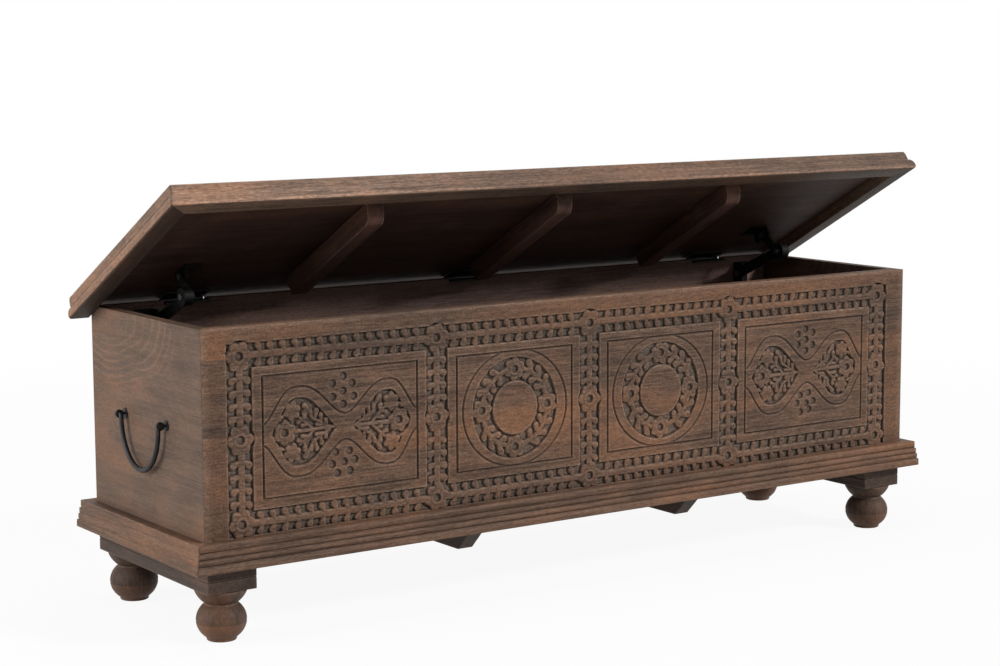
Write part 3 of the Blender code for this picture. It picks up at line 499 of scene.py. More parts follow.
def metal(name, plain, thin, rough):
    """A plated or blackened metal with a thinner second tone and a hammered surface."""
    material, start, shader = new_finish(name)
    place = start.node("TexCoord", out="Object")
    blotch = start.node("TexNoise", None, {"Vector": place, "Scale": BLOTCHES, "Detail": 4.0})
    dent = start.node("TexNoise", None, {"Vector": place, "Scale": DENTS, "Detail": 1.0})
    colour = blotch.ease(0.48, 0.72).blend(plain, thin)
    soft = start.node("Bevel", {"samples": 4}, {"Radius": IRON_EDGE})
    bump = {"Strength": 0.3, "Distance": 0.0004, "Height": dent + blotch, "Normal": soft}
    feed(shader, Base_Color=colour, Roughness=rough + blotch * 0.25)
    feed(shader, Normal=start.node("Bump", None, bump))
    shader.inputs["Metallic"].default_value = METALLIC
    return material


METALS = {
    "black_iron": ((0.024, 0.024, 0.025, 1), (0.048, 0.039, 0.032, 1), 0.36),
    "zinc_steel": ((0.36, 0.36, 0.35, 1), (0.24, 0.23, 0.21, 1), 0.22),
    "dull_pin": ((0.085, 0.085, 0.083, 1), (0.060, 0.055, 0.050, 1), 0.38),
    "stay_iron": ((0.007, 0.007, 0.007, 1), (0.014, 0.012, 0.010, 1), 0.46),
}
for name, look in METALS.items():
    finishes[name] = metal(name, *look)
print("metals:", ", ".join(METALS))

# %% [markdown]
# ## Hanging a piece on the frame
# Every piece needs the same four things: a mesh that is shaded smooth except at sharp edges, a
# finish, a body to ride on, and the solid that it stands for. One helper does all four, so no piece
# can be left without a body.

# %% A piece of the bench
SHARP = math.radians(38)
NONE_FLAT = 1.0


def dress(name, mesh, finish, body, replaced=(), flat_above=NONE_FLAT):
    """Makes a mesh into a piece on a body, flat on faces above an area, for the solids it replaces."""
    mesh.materials.clear()
    mesh.materials.append(finishes[finish])
    mesh.shade_smooth()
    mesh.set_sharp_from_angle(angle=SHARP)
    for face in mesh.polygons:
        if face.area > flat_above:
            face.use_smooth = False
    made = bpy.data.objects.new(name, mesh)
    bpy.context.scene.collection.objects.link(made)
    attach(made, body)
    if replaced:
        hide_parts(*replaced)
    return made


def mesh_from(name, bm):
    """Closes a bmesh into a mesh whose faces look outwards."""
    bmesh.ops.recalc_face_normals(bm, faces=bm.faces)
    mesh = bpy.data.meshes.new(name)
    bm.to_mesh(mesh)
    bm.free()
    return mesh


print("solids to dress:", len(nodes))

# %% [markdown]
# ## The carved front: a drawing in millimetres
# The front is one thick board whose ground was cut away round the ornament. It could be modelled
# leaf by leaf, but a carver works from a drawing on a flat board, and so do these cells: a grid of
# heights in millimetres, x from the middle and z up from the base moulding. Every form is a
# distance to its outline, so that its wall, rounded edge and top follow from one number. The grid is
# fine only where there is carving and at the rim.

# %% The board and its grid
MM = 0.001
front_low, front_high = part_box("front_panel")
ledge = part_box("front_base_moulding")[1].z
HALF_FRONT = front_high.x / MM
FRONT_BOTTOM = (front_low.z - ledge) / MM
FRONT_TOP = (front_high.z - ledge) / MM
GRID = 1.0
CARVED_HALF = 631.0
CARVED_TOP = 274.5
FINE_MARGIN = 7.0
RIM = (0.0, 0.2, 0.5, 0.9, 1.4)
BESIDE_RIM = 14.0
BELOW_RIM = 6.0
BESIDE_CARVING = 4.0

fine_half = CARVED_HALF + FINE_MARGIN
fine_x = np.arange(-fine_half, fine_half, GRID)
outer_x = [HALF_FRONT - step for step in (*RIM, BESIDE_RIM)]
outer_x = np.array(outer_x + [fine_half + BESIDE_CARVING])
xs = np.concatenate([-outer_x, fine_x, outer_x[::-1]])
fine_z = np.arange(-1.0, CARVED_TOP + FINE_MARGIN, GRID)
upper_z = [FRONT_TOP - step for step in (BELOW_RIM, *reversed(RIM))]
zs = np.concatenate([[FRONT_BOTTOM, FRONT_BOTTOM / 2], fine_z, upper_z])
drawn_x, drawn_z = np.meshgrid(xs, zs)
print("drawing:", len(xs), "by", len(zs), "points")

# %% [markdown]
# ### Two layers and a hand
# The drawing has two layers: what is left standing in the sunk ground, and what is cut into the face.
# Each form gets a small seeded error of place and size, because a hand cut it, and the seed makes
# every run the same. A form is worked out only on the part of the grid near it, which is fast.

# %% Two layers and a hand
DEPTH = 4.8
EVERYWHERE = (slice(None), slice(None))
hand = np.random.default_rng(11)
standing = np.full((len(zs), len(xs)), -DEPTH)
cuts = np.zeros_like(standing)


def ease(value, low, high):
    """0 below low, 1 above high, and a smooth climb between them."""
    share = np.clip((value - low) / (high - low), 0, 1)
    return share * share * (3 - 2 * share)


def near(x, z, reach):
    """The part of the drawing within reach of a point, and the offsets from that point."""
    rows = slice(*np.searchsorted(zs, (z - reach, z + reach)))
    columns = slice(*np.searchsorted(xs, (x - reach, x + reach)))
    across, up = np.meshgrid(xs[columns] - x, zs[rows] - z)
    return (rows, columns), across, up


def slip(size):
    """A small error of the hand, in millimetres."""
    return hand.normal(0, size)


print("ground:", DEPTH, "mm below the face")

# %% [markdown]
# ### Leaves and rosettes
# A leaf is a capsule that swells from its stalk to its head, which is what two gouge cuts leave. A
# rosette is a disc with a scalloped edge, with lines between its petals and mostly a drilled eye.
# Each could be a mesh of its own, but as heights in one drawing they merge where they touch, as
# carved forms do.

# %% Leaves and rosettes
WALL = 0.9
LEAF_DROP = 0.35
LEAF_ROUND = 1.3
ROUND_REACH = 3.8
STALK_SLIP = 0.5
HEAD_SLIP = 0.6
SIZE_SLIP = 0.05
TURN_SLIP = 0.3
PETALS = 6
PETAL_SWELL = 0.11
PETAL_LINE = 0.7
EYE_DEPTH = 3.8
EYE_RING_DEPTH = 0.5
EYE_RING_PLACE = 1.9
EYE_RING_HALF = 1.3


def stand(where, inside):
    """Leaves a form standing where inside, the distance in from its outline, is above zero."""
    rounding = LEAF_ROUND * (1 - np.clip(inside / ROUND_REACH, 0, 1)) ** 2
    top = DEPTH - LEAF_DROP - rounding
    standing[where] = np.maximum(standing[where], -DEPTH + ease(inside, -WALL, 0) * top)


def leaf(stalk, head, stalk_half, head_half):
    """A leaf from its stalk to the middle of its round head."""
    x0, z0 = stalk[0] + slip(STALK_SLIP), stalk[1] + slip(STALK_SLIP)
    run_x, run_z = head[0] + slip(HEAD_SLIP) - x0, head[1] + slip(HEAD_SLIP) - z0
    length = math.hypot(run_x, run_z)
    where, across, up = near(x0, z0, length + head_half + 2 * WALL)
    along = np.clip((across * run_x + up * run_z) / length**2, 0, 1)
    half = stalk_half + (head_half * (1 + slip(SIZE_SLIP)) - stalk_half) * along
    stand(where, half - np.hypot(across - along * run_x, up - along * run_z))


def rosette(x, z, radius, eye=0.0):
    """A flower with a scalloped edge, lines between its petals and perhaps a drilled eye."""
    x, z = x + slip(STALK_SLIP), z + slip(STALK_SLIP)
    where, across, up = near(x, z, radius * 1.15 + 2 * WALL)
    away = np.hypot(across, up)
    turn = np.cos(PETALS * (np.arctan2(up, across) + slip(TURN_SLIP)))
    stand(where, radius * (1 + PETAL_SWELL * turn) - away)
    between = ease(-turn, 0.7, 1) * ease(away, radius * 0.55, radius * 0.75) * (away < radius)
    sunk_eye = 0.0
    if eye:
        from_ring = (away - EYE_RING_PLACE * eye) / EYE_RING_HALF
        sunk_eye = EYE_DEPTH * ease(eye - away, -0.7, 0.7) + EYE_RING_DEPTH * np.exp(-(from_ring**2))
    cuts[where] = np.maximum(cuts[where], np.maximum(between * PETAL_LINE, sunk_eye))


print("leaves and rosettes ready")

# %% [markdown]
# ### Cut lines
# Thin lines frame the ornament. They are cut with a V-shaped tool, so their depth falls off evenly
# from the middle of the line, and any outline can be cut once the distance to it is known.

# %% Cut lines
LINE_HALF = 2.0
LINE_DEPTH = 3.0


def incise(where, distance):
    """A V-shaped line where distance is near zero."""
    cuts[where] = np.maximum(cuts[where], LINE_DEPTH * (1 - np.clip(distance / LINE_HALF, 0, 1)))


def rectangle(x, z, half_x, half_z):
    """How far each point of the drawing lies outside a rectangle."""
    return np.maximum(np.abs(drawn_x - x) - half_x, np.abs(drawn_z - z) - half_z)


print("lines:", 2 * LINE_HALF, "mm wide and", LINE_DEPTH, "mm deep")

# %% [markdown]
# ## The leafy bands
# Two long bands and five upright ones frame four fields. Along the middle of each runs a stem, with
# leaves in pairs that lean back from the way it grows, and a rosette with a drilled eye sits
# wherever bands meet and halfway up each upright. The leaves are set out by dividing the run between
# two rosettes, as a carver steps it off with dividers.

# %% Bands of leaves
BAND_MIDDLES = (-610.0, -283.0, -1.0, 281.0, 610.0)
ROWS = {"bottom": 17.0, "middle": 138.0, "top": 257.0}
ROSETTE = 20.0
ROSETTE_MOAT = 2.2
ROSETTE_EYE = 6.4
STEM_HALF = 5.2
LEAF_ROOT = STEM_HALF * 0.6
LEAF_REACH = 12.8
LEAF_LEAN = 3.6
LEAF_HEAD = 5.2
LEAF_STALK = 2.7
LEAF_STEP = 20.6


def spray(start, end, lean):
    """A stem between two rosettes with its pairs of leaves, which lean by this much."""
    run_x, run_z = end[0] - start[0], end[1] - start[1]
    length = math.hypot(run_x, run_z)
    unit_x, unit_z = run_x / length, run_z / length
    leaf(start, end, STEM_HALF, STEM_HALF)
    clear = ROSETTE + ROSETTE_MOAT
    room = length - 2 * clear
    pairs = max(1, round(room / LEAF_STEP))
    for i in range(pairs):
        along = clear + room * (i + 0.5) / pairs
        x, z = start[0] + unit_x * along, start[1] + unit_z * along
        for side in (-1, 1):
            stalk = (x - unit_z * side * LEAF_ROOT, z + unit_x * side * LEAF_ROOT)
            reach = side * LEAF_REACH
            head = (x - unit_z * reach - unit_x * lean, z + unit_x * reach - unit_z * lean)
            leaf(stalk, head, LEAF_STALK, LEAF_HEAD)
    return pairs


pair_count = 0
for left, right in zip(BAND_MIDDLES, BAND_MIDDLES[1:]):
    for row in ("bottom", "top"):
        lean = LEAF_LEAN if right <= 0 else -LEAF_LEAN
        pair_count += spray((left, ROWS[row]), (right, ROWS[row]), lean)
for middle in BAND_MIDDLES:
    for lower, upper in (("bottom", "middle"), ("middle", "top")):
        pair_count += spray((middle, ROWS[lower]), (middle, ROWS[upper]), LEAF_LEAN)
for middle in BAND_MIDDLES:
    for level in ROWS.values():
        rosette(middle, level, ROSETTE, ROSETTE_EYE)
print("bands:", pair_count, "pairs of leaves and", len(ROWS) * len(BAND_MIDDLES), "rosettes")

# %% [markdown]
# ### The sunk ground
# The ground is cut away along the bands, and the four fields between them keep the height of the
# face. It is kept as a distance too: below zero where the ground is sunk. Round each rosette a narrow
# moat is sunk into the fields, so that the flower stands free.

# %% Ground and fields
BAND_HALF = 19.0
FIELD_LOW = 36.0
FIELD_HIGH = 239.0
FIELD_MIDDLE = (FIELD_LOW + FIELD_HIGH) / 2
FIELD_HALF = (FIELD_HIGH - FIELD_LOW) / 2

fields = []
ground = rectangle(0, CARVED_TOP / 2, CARVED_HALF, CARVED_TOP / 2)
for left, right in zip(BAND_MIDDLES, BAND_MIDDLES[1:]):
    left, right = left + BAND_HALF, right - BAND_HALF
    fields.append((left, right))
    field = rectangle((left + right) / 2, FIELD_MIDDLE, (right - left) / 2, FIELD_HALF)
    ground = np.maximum(ground, -field)


def moat(x, z, radius):
    """Sinks the ground round a rosette, so that it stands free."""
    where, across, up = near(x, z, radius + 3 * ROSETTE_MOAT)
    ground[where] = np.minimum(ground[where], np.hypot(across, up) - radius - ROSETTE_MOAT)


for middle in BAND_MIDDLES:
    for level in ROWS.values():
        moat(middle, level, ROSETTE)
print("fields:", [(round(left), round(right)) for left, right in fields])

# %% [markdown]
# ## The medallions
# The two inner fields hold a plain disc in a sunk ring. Four rosettes stand in the ring and a short
# spray runs from each to the next. The sprays are laid out by angle and distance from the disc's
# middle, because a straight spray bent round a ring would crowd its inner leaves.

# %% Sprays in a ring
RING_MIDDLE = 60.0
RING_ROSETTE = 17.0
FLOWER_EYE = 6.0
RING_STEM = 3.6
RING_STEM_DEG = (14, 35, 56)
RING_STEM_TURN_DEG = 20
RING_LEAF_DEG = (29, 45, 61)
RING_LAG_DEG = 6.5
RING_STALK = 3.2
RING_LEAVES = ((62.0, 70.5, 5.6), (58.0, 49.5, 5.0))


def on_ring(centre, radius, degrees):
    """A point at a distance and an angle from a middle."""
    angle = math.radians(degrees)
    return centre[0] + radius * math.cos(angle), centre[1] + radius * math.sin(angle)


def ring_quarter(centre, first):
    """A spray over a quarter of the ring, and the rosette that it starts from."""
    for degrees in RING_STEM_DEG:
        start = on_ring(centre, RING_MIDDLE, first + degrees)
        end = on_ring(centre, RING_MIDDLE, first + degrees + RING_STEM_TURN_DEG)
        leaf(start, end, RING_STEM, RING_STEM)
    for degrees in RING_LEAF_DEG:
        for stalk_radius, head_radius, head_half in RING_LEAVES:
            stalk = on_ring(centre, stalk_radius, first + degrees)
            head = on_ring(centre, head_radius, first + degrees + RING_LAG_DEG)
            leaf(stalk, head, RING_STALK, head_half)
    rosette(*on_ring(centre, RING_MIDDLE, first), RING_ROSETTE, FLOWER_EYE)


print("ring: a spray of", len(RING_LEAF_DEG), "pairs in each quarter")

# %% [markdown]
# ### Disc, oval and frame
# A cut oval and a cut rectangle frame the medallion, and the oval stops where it meets the rectangle,
# as on the real board. The distance to an oval has no short formula, so it is the oval's own share of
# size, divided by how fast that share grows.

# %% Medallions
FRAME_INSET = 16.0
FRAME_HALF_HEIGHT = 87.5
DISC = 41.0
RING = 77.5
OVAL = (95.5, 89.0)
MEDALLION_RISE = 1.0


def incised_frame(left, right):
    """The rectangle cut round a field's ornament."""
    half = (right - left) / 2 - FRAME_INSET
    incise(EVERYWHERE, np.abs(rectangle((left + right) / 2, FIELD_MIDDLE, half, FRAME_HALF_HEIGHT)))


def medallion(left, right):
    """A disc in a ring of sprays, with an oval and a rectangle round it."""
    centre = ((left + right) / 2, FIELD_MIDDLE + MEDALLION_RISE)
    incised_frame(left, right)
    where, across, up = near(*centre, OVAL[0] + 3 * LINE_HALF)
    share = np.hypot(across / OVAL[0], up / OVAL[1])
    steep = np.hypot(across / OVAL[0] ** 2, up / OVAL[1] ** 2) / np.maximum(share, 0.1)
    beyond = np.where(np.abs(up) > FRAME_HALF_HEIGHT, LINE_HALF, 0.0)
    incise(where, np.abs(share - 1) / steep + beyond)
    away = np.hypot(across, up)
    ground[where] = np.minimum(ground[where], np.maximum(away - RING, DISC - away))
    for quarter in range(4):
        ring_quarter(centre, 90 * quarter)


for left, right in fields[1:3]:
    medallion(left, right)
print("medallions: 2, each with 4 rosettes and 12 pairs of leaves")

# %% [markdown]
# ## The drops
# The outer fields hold two drops whose points meet in the middle, inside a double wave that swells
# round them. A wave could be a curve with handles, but here it is a row of smooth steps between its
# crests, because a height for each x is easy to mirror. The drops are what is left a border's width
# inside the waves, and the border is wider at the waist.

# %% Waves
WAVE_SHARES = (0.0, 0.230, 0.523, 0.80, 1.0)
WAVE_RISE = (15.5, 64.5, 19.0, 62.5, 14.5)
WAVE_BLUNT = 1.25
WAVE_END_BLUNT = 1.5
DROP_LEVEL = 141.0
DROP_BORDER = 15.5
WAIST_FILL = 9.0
WAIST_REACH = 15.0
WAIST_SHIFT = 2.0


def wave_rise(crests):
    """How far the upper wave stands above the middle of the drops, for each x."""
    rise = np.zeros_like(xs)
    for i in range(len(crests) - 1):
        part = (xs >= crests[i]) & (xs <= crests[i + 1])
        share = (xs[part] - crests[i]) / (crests[i + 1] - crests[i])
        blunt = WAVE_BLUNT if 0 < i < len(crests) - 2 else WAVE_END_BLUNT
        from_crest = 1 - share if WAVE_RISE[i + 1] > WAVE_RISE[i] else share
        fall = from_crest**blunt
        fall = fall**2 * (3 - 2 * fall)
        rise[part] = max(WAVE_RISE[i : i + 2]) - abs(WAVE_RISE[i + 1] - WAVE_RISE[i]) * fall
    return rise


def wave(left, right):
    """Cuts the two waves of a field and sinks the drops inside them."""
    crests = left + FRAME_INSET + (right - left - 2 * FRAME_INSET) * np.array(WAVE_SHARES)
    rise = wave_rise(crests)
    steep = np.hypot(1, np.gradient(rise, xs))
    outside = np.where((xs < crests[0]) | (xs > crests[-1]), 2 * DROP_BORDER, 0.0)
    up = drawn_z - DROP_LEVEL
    for heading in (-1, 1):
        incise(EVERYWHERE, np.abs(up - heading * rise) / steep + outside)
    waist = WAIST_FILL * np.exp(-(((xs - (left + right) / 2 - WAIST_SHIFT) / WAIST_REACH) ** 2))
    border = DROP_BORDER + waist + outside
    np.minimum(ground, border - (rise - np.abs(up)) / steep, out=ground)


print("waves:", len(WAVE_SHARES) - 1, "steps each")

# %% [markdown]
# ### Leaves and flowers of a drop
# In each drop a stalk runs from the tip to a flower with a drilled eye at the far end. To each side
# two branches carry leaflets and a smaller flower. They are listed once, as distances along the drop
# and out from its stalk, and mirrored to the other side and the other drop.

# %% Leaves and flowers of a drop
DROP_STALK = (3, 66)
STALK_HALF = (2.2, 3.0)
TWIG_HALF = 1.8
TWIG_HEAD = 2.2
SIDE_FLOWER = 13.0
SIDE_FLOWER_PLACE = (71, 30)
END_FLOWER = 17.0
END_FLOWER_PLACE = 83.0
DROP_BRANCHES = (((10, 1), (38, 17), TWIG_HEAD), ((36, 1), (57, 20), TWIG_HEAD))
DROP_LEAVES = (
    ((15, 4), (16, 12.5), 3.4),
    ((24, 9), (23, 20), 3.8),
    ((34, 14), (31.5, 27.5), 4.0),
    ((38, 17), (41.5, 27), 3.8),
    ((43, 27), (50, 37), 4.2),
    ((52, 15), (51, 26), 4.0),
    ((21, 6), (31, 6.5), 2.8),
    ((44, 8), (54, 8), 3.2),
    ((53, 16), (61, 13.5), 3.4),
    ((85, 24), (90, 22), 3.2),
)


def drop(tip_x, heading):
    """The flowers and leaves of the drop that swells from its tip towards heading."""

    def at(along, up):
        return tip_x + heading * along, DROP_LEVEL + up

    leaf(at(DROP_STALK[0], 0), at(DROP_STALK[1], 0), *STALK_HALF)
    for side in (-1, 1):
        for first, last, head in DROP_BRANCHES + DROP_LEAVES:
            leaf(at(first[0], side * first[1]), at(last[0], side * last[1]), TWIG_HALF, head)
        rosette(*at(SIDE_FLOWER_PLACE[0], side * SIDE_FLOWER_PLACE[1]), SIDE_FLOWER)
    moat(*at(END_FLOWER_PLACE, 0), END_FLOWER)
    rosette(*at(END_FLOWER_PLACE, 0), END_FLOWER, FLOWER_EYE)


print("drop:", 2 * len(DROP_LEAVES), "leaflets and 3 flowers")

# %% [markdown]
# ### Drilled holes, and the two outer fields
# Seven shallow holes are drilled above the waist and seven below, one in the middle of each group and
# six round it, a little out of place as a hand drill leaves them. Then each outer field is cut: its
# frame, its waves, its two drops and its holes.

# %% The outer fields
DROP_TIP = 12.0
HOLE_RADIUS = 6.0
HOLE_DEPTH = 3.4
HOLE_RING = 18.5
HOLE_SLIP = 1.4
HOLE_GROUPS = ((194.0, 90), (89.0, 0))


def drilled_holes(x, z, turn_deg):
    """Seven shallow holes: one in the middle and six round it."""
    places = [(x, z)]
    for i in range(6):
        places.append(on_ring((x, z), HOLE_RING, turn_deg + 60 * i))
    for place in places:
        hole_x, hole_z = place[0] + slip(HOLE_SLIP), place[1] + slip(HOLE_SLIP)
        where, across, up = near(hole_x, hole_z, HOLE_RADIUS + 2)
        inside = HOLE_RADIUS - np.hypot(across, up)
        cuts[where] = np.maximum(cuts[where], HOLE_DEPTH * ease(inside, -0.8, 0.9))
    return len(places)


hole_count = 0
for left, right in (fields[0], fields[3]):
    incised_frame(left, right)
    middle = (left + right) / 2 + WAIST_SHIFT
    wave(left, right)
    for heading in (-1, 1):
        drop(middle + heading * DROP_TIP, heading)
    for level, turn_deg in HOLE_GROUPS:
        hole_count += drilled_holes(middle, level, turn_deg)
print("drops: 4, drilled holes:", hole_count)

# %% [markdown]
# ## From the drawing to heights
# Now the layers come together: the ground is sunk with a steep wall and left rough by the gouge, the
# face rounds off at its brink and stays a little uneven from the plane, and the rim of the board is
# eased. A displacement could do this at render time, but then the mesh itself would stay flat.

# %% Heights
FACE_UNEVEN = 0.12
GROUND_UNEVEN = 0.32
BRINK_DROP = 0.45
BRINK_REACH = 0.9
ARRIS = 1.3


def uneven(shortest, longest, count):
    """A gentle unevenness: waves of many lengths and directions."""
    total = np.zeros_like(drawn_x)
    for _ in range(count):
        length = hand.uniform(shortest, longest)
        way = hand.uniform(0, math.pi)
        start = hand.uniform(0, 2 * math.pi)
        along = drawn_x * math.cos(way) + drawn_z * math.sin(way)
        total += np.sin(along * 2 * math.pi / length + start)
    return total / math.sqrt(count)


sunk_share = ease(-ground, 0, WALL)
bottom = ease(-standing, DEPTH * 0.8, DEPTH)
heights = sunk_share * (standing + bottom * GROUND_UNEVEN * uneven(5, 14, 9))
heights -= BRINK_DROP * np.exp(-np.maximum(ground, 0) / BRINK_REACH) * (1 - sunk_share)
heights -= cuts
heights += FACE_UNEVEN * uneven(60, 240, 8)
edge_x = np.maximum(HALF_FRONT - np.abs(drawn_x), 0)
edge_z = np.maximum(FRONT_TOP - drawn_z, 0)
for edge in (edge_x, edge_z):
    inset = np.clip(ARRIS - edge, 0, ARRIS)
    heights -= ARRIS - np.sqrt(ARRIS**2 - inset**2)
print("heights from", round(heights.min(), 1), "to", round(heights.max(), 1), "mm")

# %% [markdown]
# ### Masks for the finish
# The same heights tell the finish where to wear. How deep a point lies gives the ground its grey of dust
# and painted light, how far it stands above the mean of its neighbours gives the rubbed tops, and how far
# it lies below them gives the dirt and painted shade of the corners. The rim of the board is rubbed as
# well.

# %% Masks
RUB_REACH = 3
RUB_SHARE = 0.7
DIRT_AND_SHADE_REACH = 2
DIRT_AND_SHADE_SHARE = 0.55
RIM_RUB = 1.6
RIM_REACH = 2.2


def mean_round(heights, reach):
    """Each point's mean over a small square round it."""
    padded = np.pad(heights, reach, mode="edge")
    total = np.zeros_like(heights)
    for i in range(2 * reach + 1):
        for j in range(2 * reach + 1):
            total += padded[i : i + heights.shape[0], j : j + heights.shape[1]]
    return total / (2 * reach + 1) ** 2


masks = {"sunk": np.clip(-heights / DEPTH, 0, 1)}
masks["rubbed"] = np.clip((heights - mean_round(heights, RUB_REACH)) * RUB_SHARE, 0, 1)
# Below the mean of its neighbours: dirt and painted shade in the corners.
masks["dirt"] = np.clip((mean_round(heights, DIRT_AND_SHADE_REACH) - heights) * DIRT_AND_SHADE_SHARE, 0, 1)
for edge in (edge_x, edge_z):
    rim_rub = np.minimum(1, RIM_RUB * np.exp(-edge / RIM_REACH))
    masks["rubbed"] = np.maximum(masks["rubbed"], rim_rub)
for name, mask in masks.items():
    print("mask", name, "mean", round(float(mask.mean()), 3))

# %% [markdown]
# ### A closed board
# The heights become the front face of a closed board with a plain back. The back is a little
# narrower, because the corners of the chest are mitred. Two rows of points are enough for it: strips
# of faces join them to the first and last rows of the front.

# %% The carved board
MITRE_LAND = 0.004
count_z, count_x = heights.shape
mitre = 1 - (front_high.y - front_low.y - MITRE_LAND) / front_high.x
back_x = np.clip(xs * MM * mitre, -front_high.x, front_high.x)
front_points = np.stack([drawn_x * MM, front_low.y - heights * MM, drawn_z * MM + ledge], axis=-1)
rows = [front_points.reshape(-1, 3)]
for level in (front_low.z, front_high.z):
    rows.append(np.stack([back_x, np.full(count_x, front_high.y), np.full(count_x, level)], axis=-1))
points = np.concatenate(rows)
index = np.arange(count_z * count_x).reshape(count_z, count_x)
low_row = count_z * count_x + np.arange(count_x)
top_row = low_row + count_x


def strip(first, second):
    """Quads between two rows of points."""
    return np.stack([first[:-1], first[1:], second[1:], second[:-1]], axis=-1).reshape(-1, 4)


quads = [strip(index[i], index[i + 1]) for i in range(count_z - 1)]
quads += [strip(low_row, index[0]), strip(index[-1], top_row), strip(top_row, low_row)]
faces = np.concatenate(quads).tolist()
faces.append([low_row[0]] + index[:, 0].tolist() + [top_row[0]])
faces.append([top_row[-1]] + index[::-1, -1].tolist() + [low_row[-1]])
board = bpy.data.meshes.new("carved_front")
board.from_pydata(points.tolist(), [], faces)
board.update()
for name, mask in masks.items():
    values = np.zeros(len(points), np.float32)
    values[: mask.size] = mask.ravel()
    board.attributes.new(name, "FLOAT", "POINT").data.foreach_set("value", values)
dress("carved_front", board, "carved_front", "chest", ["front_panel"])
print("carved front:", len(board.polygons), "faces")

# %% [markdown]
# ## Boards with eased edges
# The ends, the back, the lid's panel, its battens and the timbers underneath are plain boards, and
# their solids already have the right shape. A board that a hand has sanded has no knife edge, though,
# and a knife edge catches no light. So each solid is copied, its triangles are joined back into flat
# faces, and its long edges are rounded.

# %% Easing a board
EASING = 0.0013
FINE_EASING = 0.0003
EASING_STEPS = 3
SHORTEST_EASED = 0.012
SHARPER_THAN = math.radians(30)
FLAT_WITHIN = math.radians(1)
FLAT_ABOVE = 0.0001
SAME_POINT = 1e-6


def eased_board(node, finish, slot, easing=EASING):
    """A solid of the frame with its long edges rounded."""
    bm = bmesh.new()
    bm.from_mesh(nodes[node].data)
    bmesh.ops.remove_doubles(bm, verts=bm.verts, dist=SAME_POINT)
    bmesh.ops.dissolve_limit(bm, angle_limit=FLAT_WITHIN, verts=bm.verts, edges=bm.edges)
    edges = []
    for edge in bm.edges:
        if edge.calc_length() > SHORTEST_EASED and edge.calc_face_angle(0.0) > SHARPER_THAN:
            edges.append(edge)
    shape = {"offset": easing, "segments": EASING_STEPS, "profile": 0.5}
    bmesh.ops.bevel(bm, geom=edges, affect="EDGES", clamp_overlap=True, **shape)
    dress(node + "_eased", mesh_from(node, bm), finish, nodes[node]["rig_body"], [node], FLAT_ABOVE)
    return len(edges)


print("easing:", EASING, "m")

# %% [markdown]
# ### The boards
# Each board gets the finish of its place. The back and the lid's panel meet the hinges and the lid's
# edge closely, so their edges are eased less.

# %% Eased boards
BOARDS = {
    "left_end_panel": ("end_board", "plain_wood"),
    "right_end_panel": ("end_board", "plain_wood"),
    "back_panel": ("inside_long", "inside_wood", FINE_EASING),
    "bottom_board": ("inside_long", "inside_wood"),
    "lid_panel": ("lid_board", "plain_wood", FINE_EASING),
    "left_lid_batten": ("batten", "inside_wood"),
    "middle_lid_batten": ("batten", "inside_wood"),
    "right_lid_batten": ("batten", "inside_wood"),
    "left_runner": ("bearer", "turned_wood"),
    "right_runner": ("bearer", "turned_wood"),
    "left_foot_rail": ("bearer", "turned_wood"),
    "right_foot_rail": ("bearer", "turned_wood"),
    "left_cross_bearer": ("bearer", "turned_wood"),
    "right_cross_bearer": ("bearer", "turned_wood"),
}
eased_edges = 0
for node, look in BOARDS.items():
    eased_edges += eased_board(node, *look)
print("eased boards:", len(BOARDS), "with", eased_edges, "edges")

# %% [markdown]
# ## Mouldings
# The base moulding and the lid's edge are lengths of one profile each, planed by hand. A profile is a
# closed row of points, out from the chest and up. Its rounds are arcs of many points, and its sharp
# corners are eased with a short curve, so that they catch the light.

# %% Arcs and eased corners
BLUNT_CORNER = math.radians(150)
LONGEST_EASE = 0.45


def arc(centre, radii, start_deg, end_deg, steps):
    """Points along part of an ellipse."""
    points = []
    for i in range(steps + 1):
        angle = math.radians(start_deg + (end_deg - start_deg) * i / steps)
        points.append((centre[0] + radii[0] * math.cos(angle), centre[1] + radii[1] * math.sin(angle)))
    return points


def eased_profile(profile, radius, steps=3):
    """A closed profile with each sharp corner rounded."""
    rounded = []
    for i, corner in enumerate(profile):
        here = Vector(corner)
        before, after = Vector(profile[i - 1]) - here, Vector(profile[(i + 1) % len(profile)]) - here
        if before.angle(after) > BLUNT_CORNER:
            rounded.append(corner)
            continue
        start = here + before.normalized() * min(radius, before.length * LONGEST_EASE)
        end = here + after.normalized() * min(radius, after.length * LONGEST_EASE)
        for step in range(steps + 1):
            share = step / steps
            rounded.append(tuple(start.lerp(here, share).lerp(here.lerp(end, share), share)))
    return rounded


print("profiles ready")

# %% [markdown]
# ### A strip between two mitres
# The strips meet in mitres at the corners. A profile could be bevelled on a curve, but mitres are
# easier to get right by carrying the profile's points straight from one mitre to the other: the
# further out a point lies, the longer its run. The section wanders a little along its length.

# %% Strips
CHEST_HALF_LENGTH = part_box("right_end_panel")[1].x
CHEST_HALF_DEPTH = -front_low.y
MITRE_GAP = 0.0001
SECTION_STEP = 0.020
WANDER = 0.00012
WANDER_RATE = 41
QUARTER_TURNS = {"front": 0, "right": 1, "back": 2, "left": 3}


def joined(bm, rings):
    """Closes a row of rings into a solid: quads from ring to ring and a face at each end."""
    for first, second in zip(rings, rings[1:]):
        for i in range(len(first)):
            after = (i + 1) % len(first)
            bm.faces.new((first[i], first[after], second[after], second[i]))
    bm.faces.new(rings[0])
    bm.faces.new(rings[-1])
    return bm


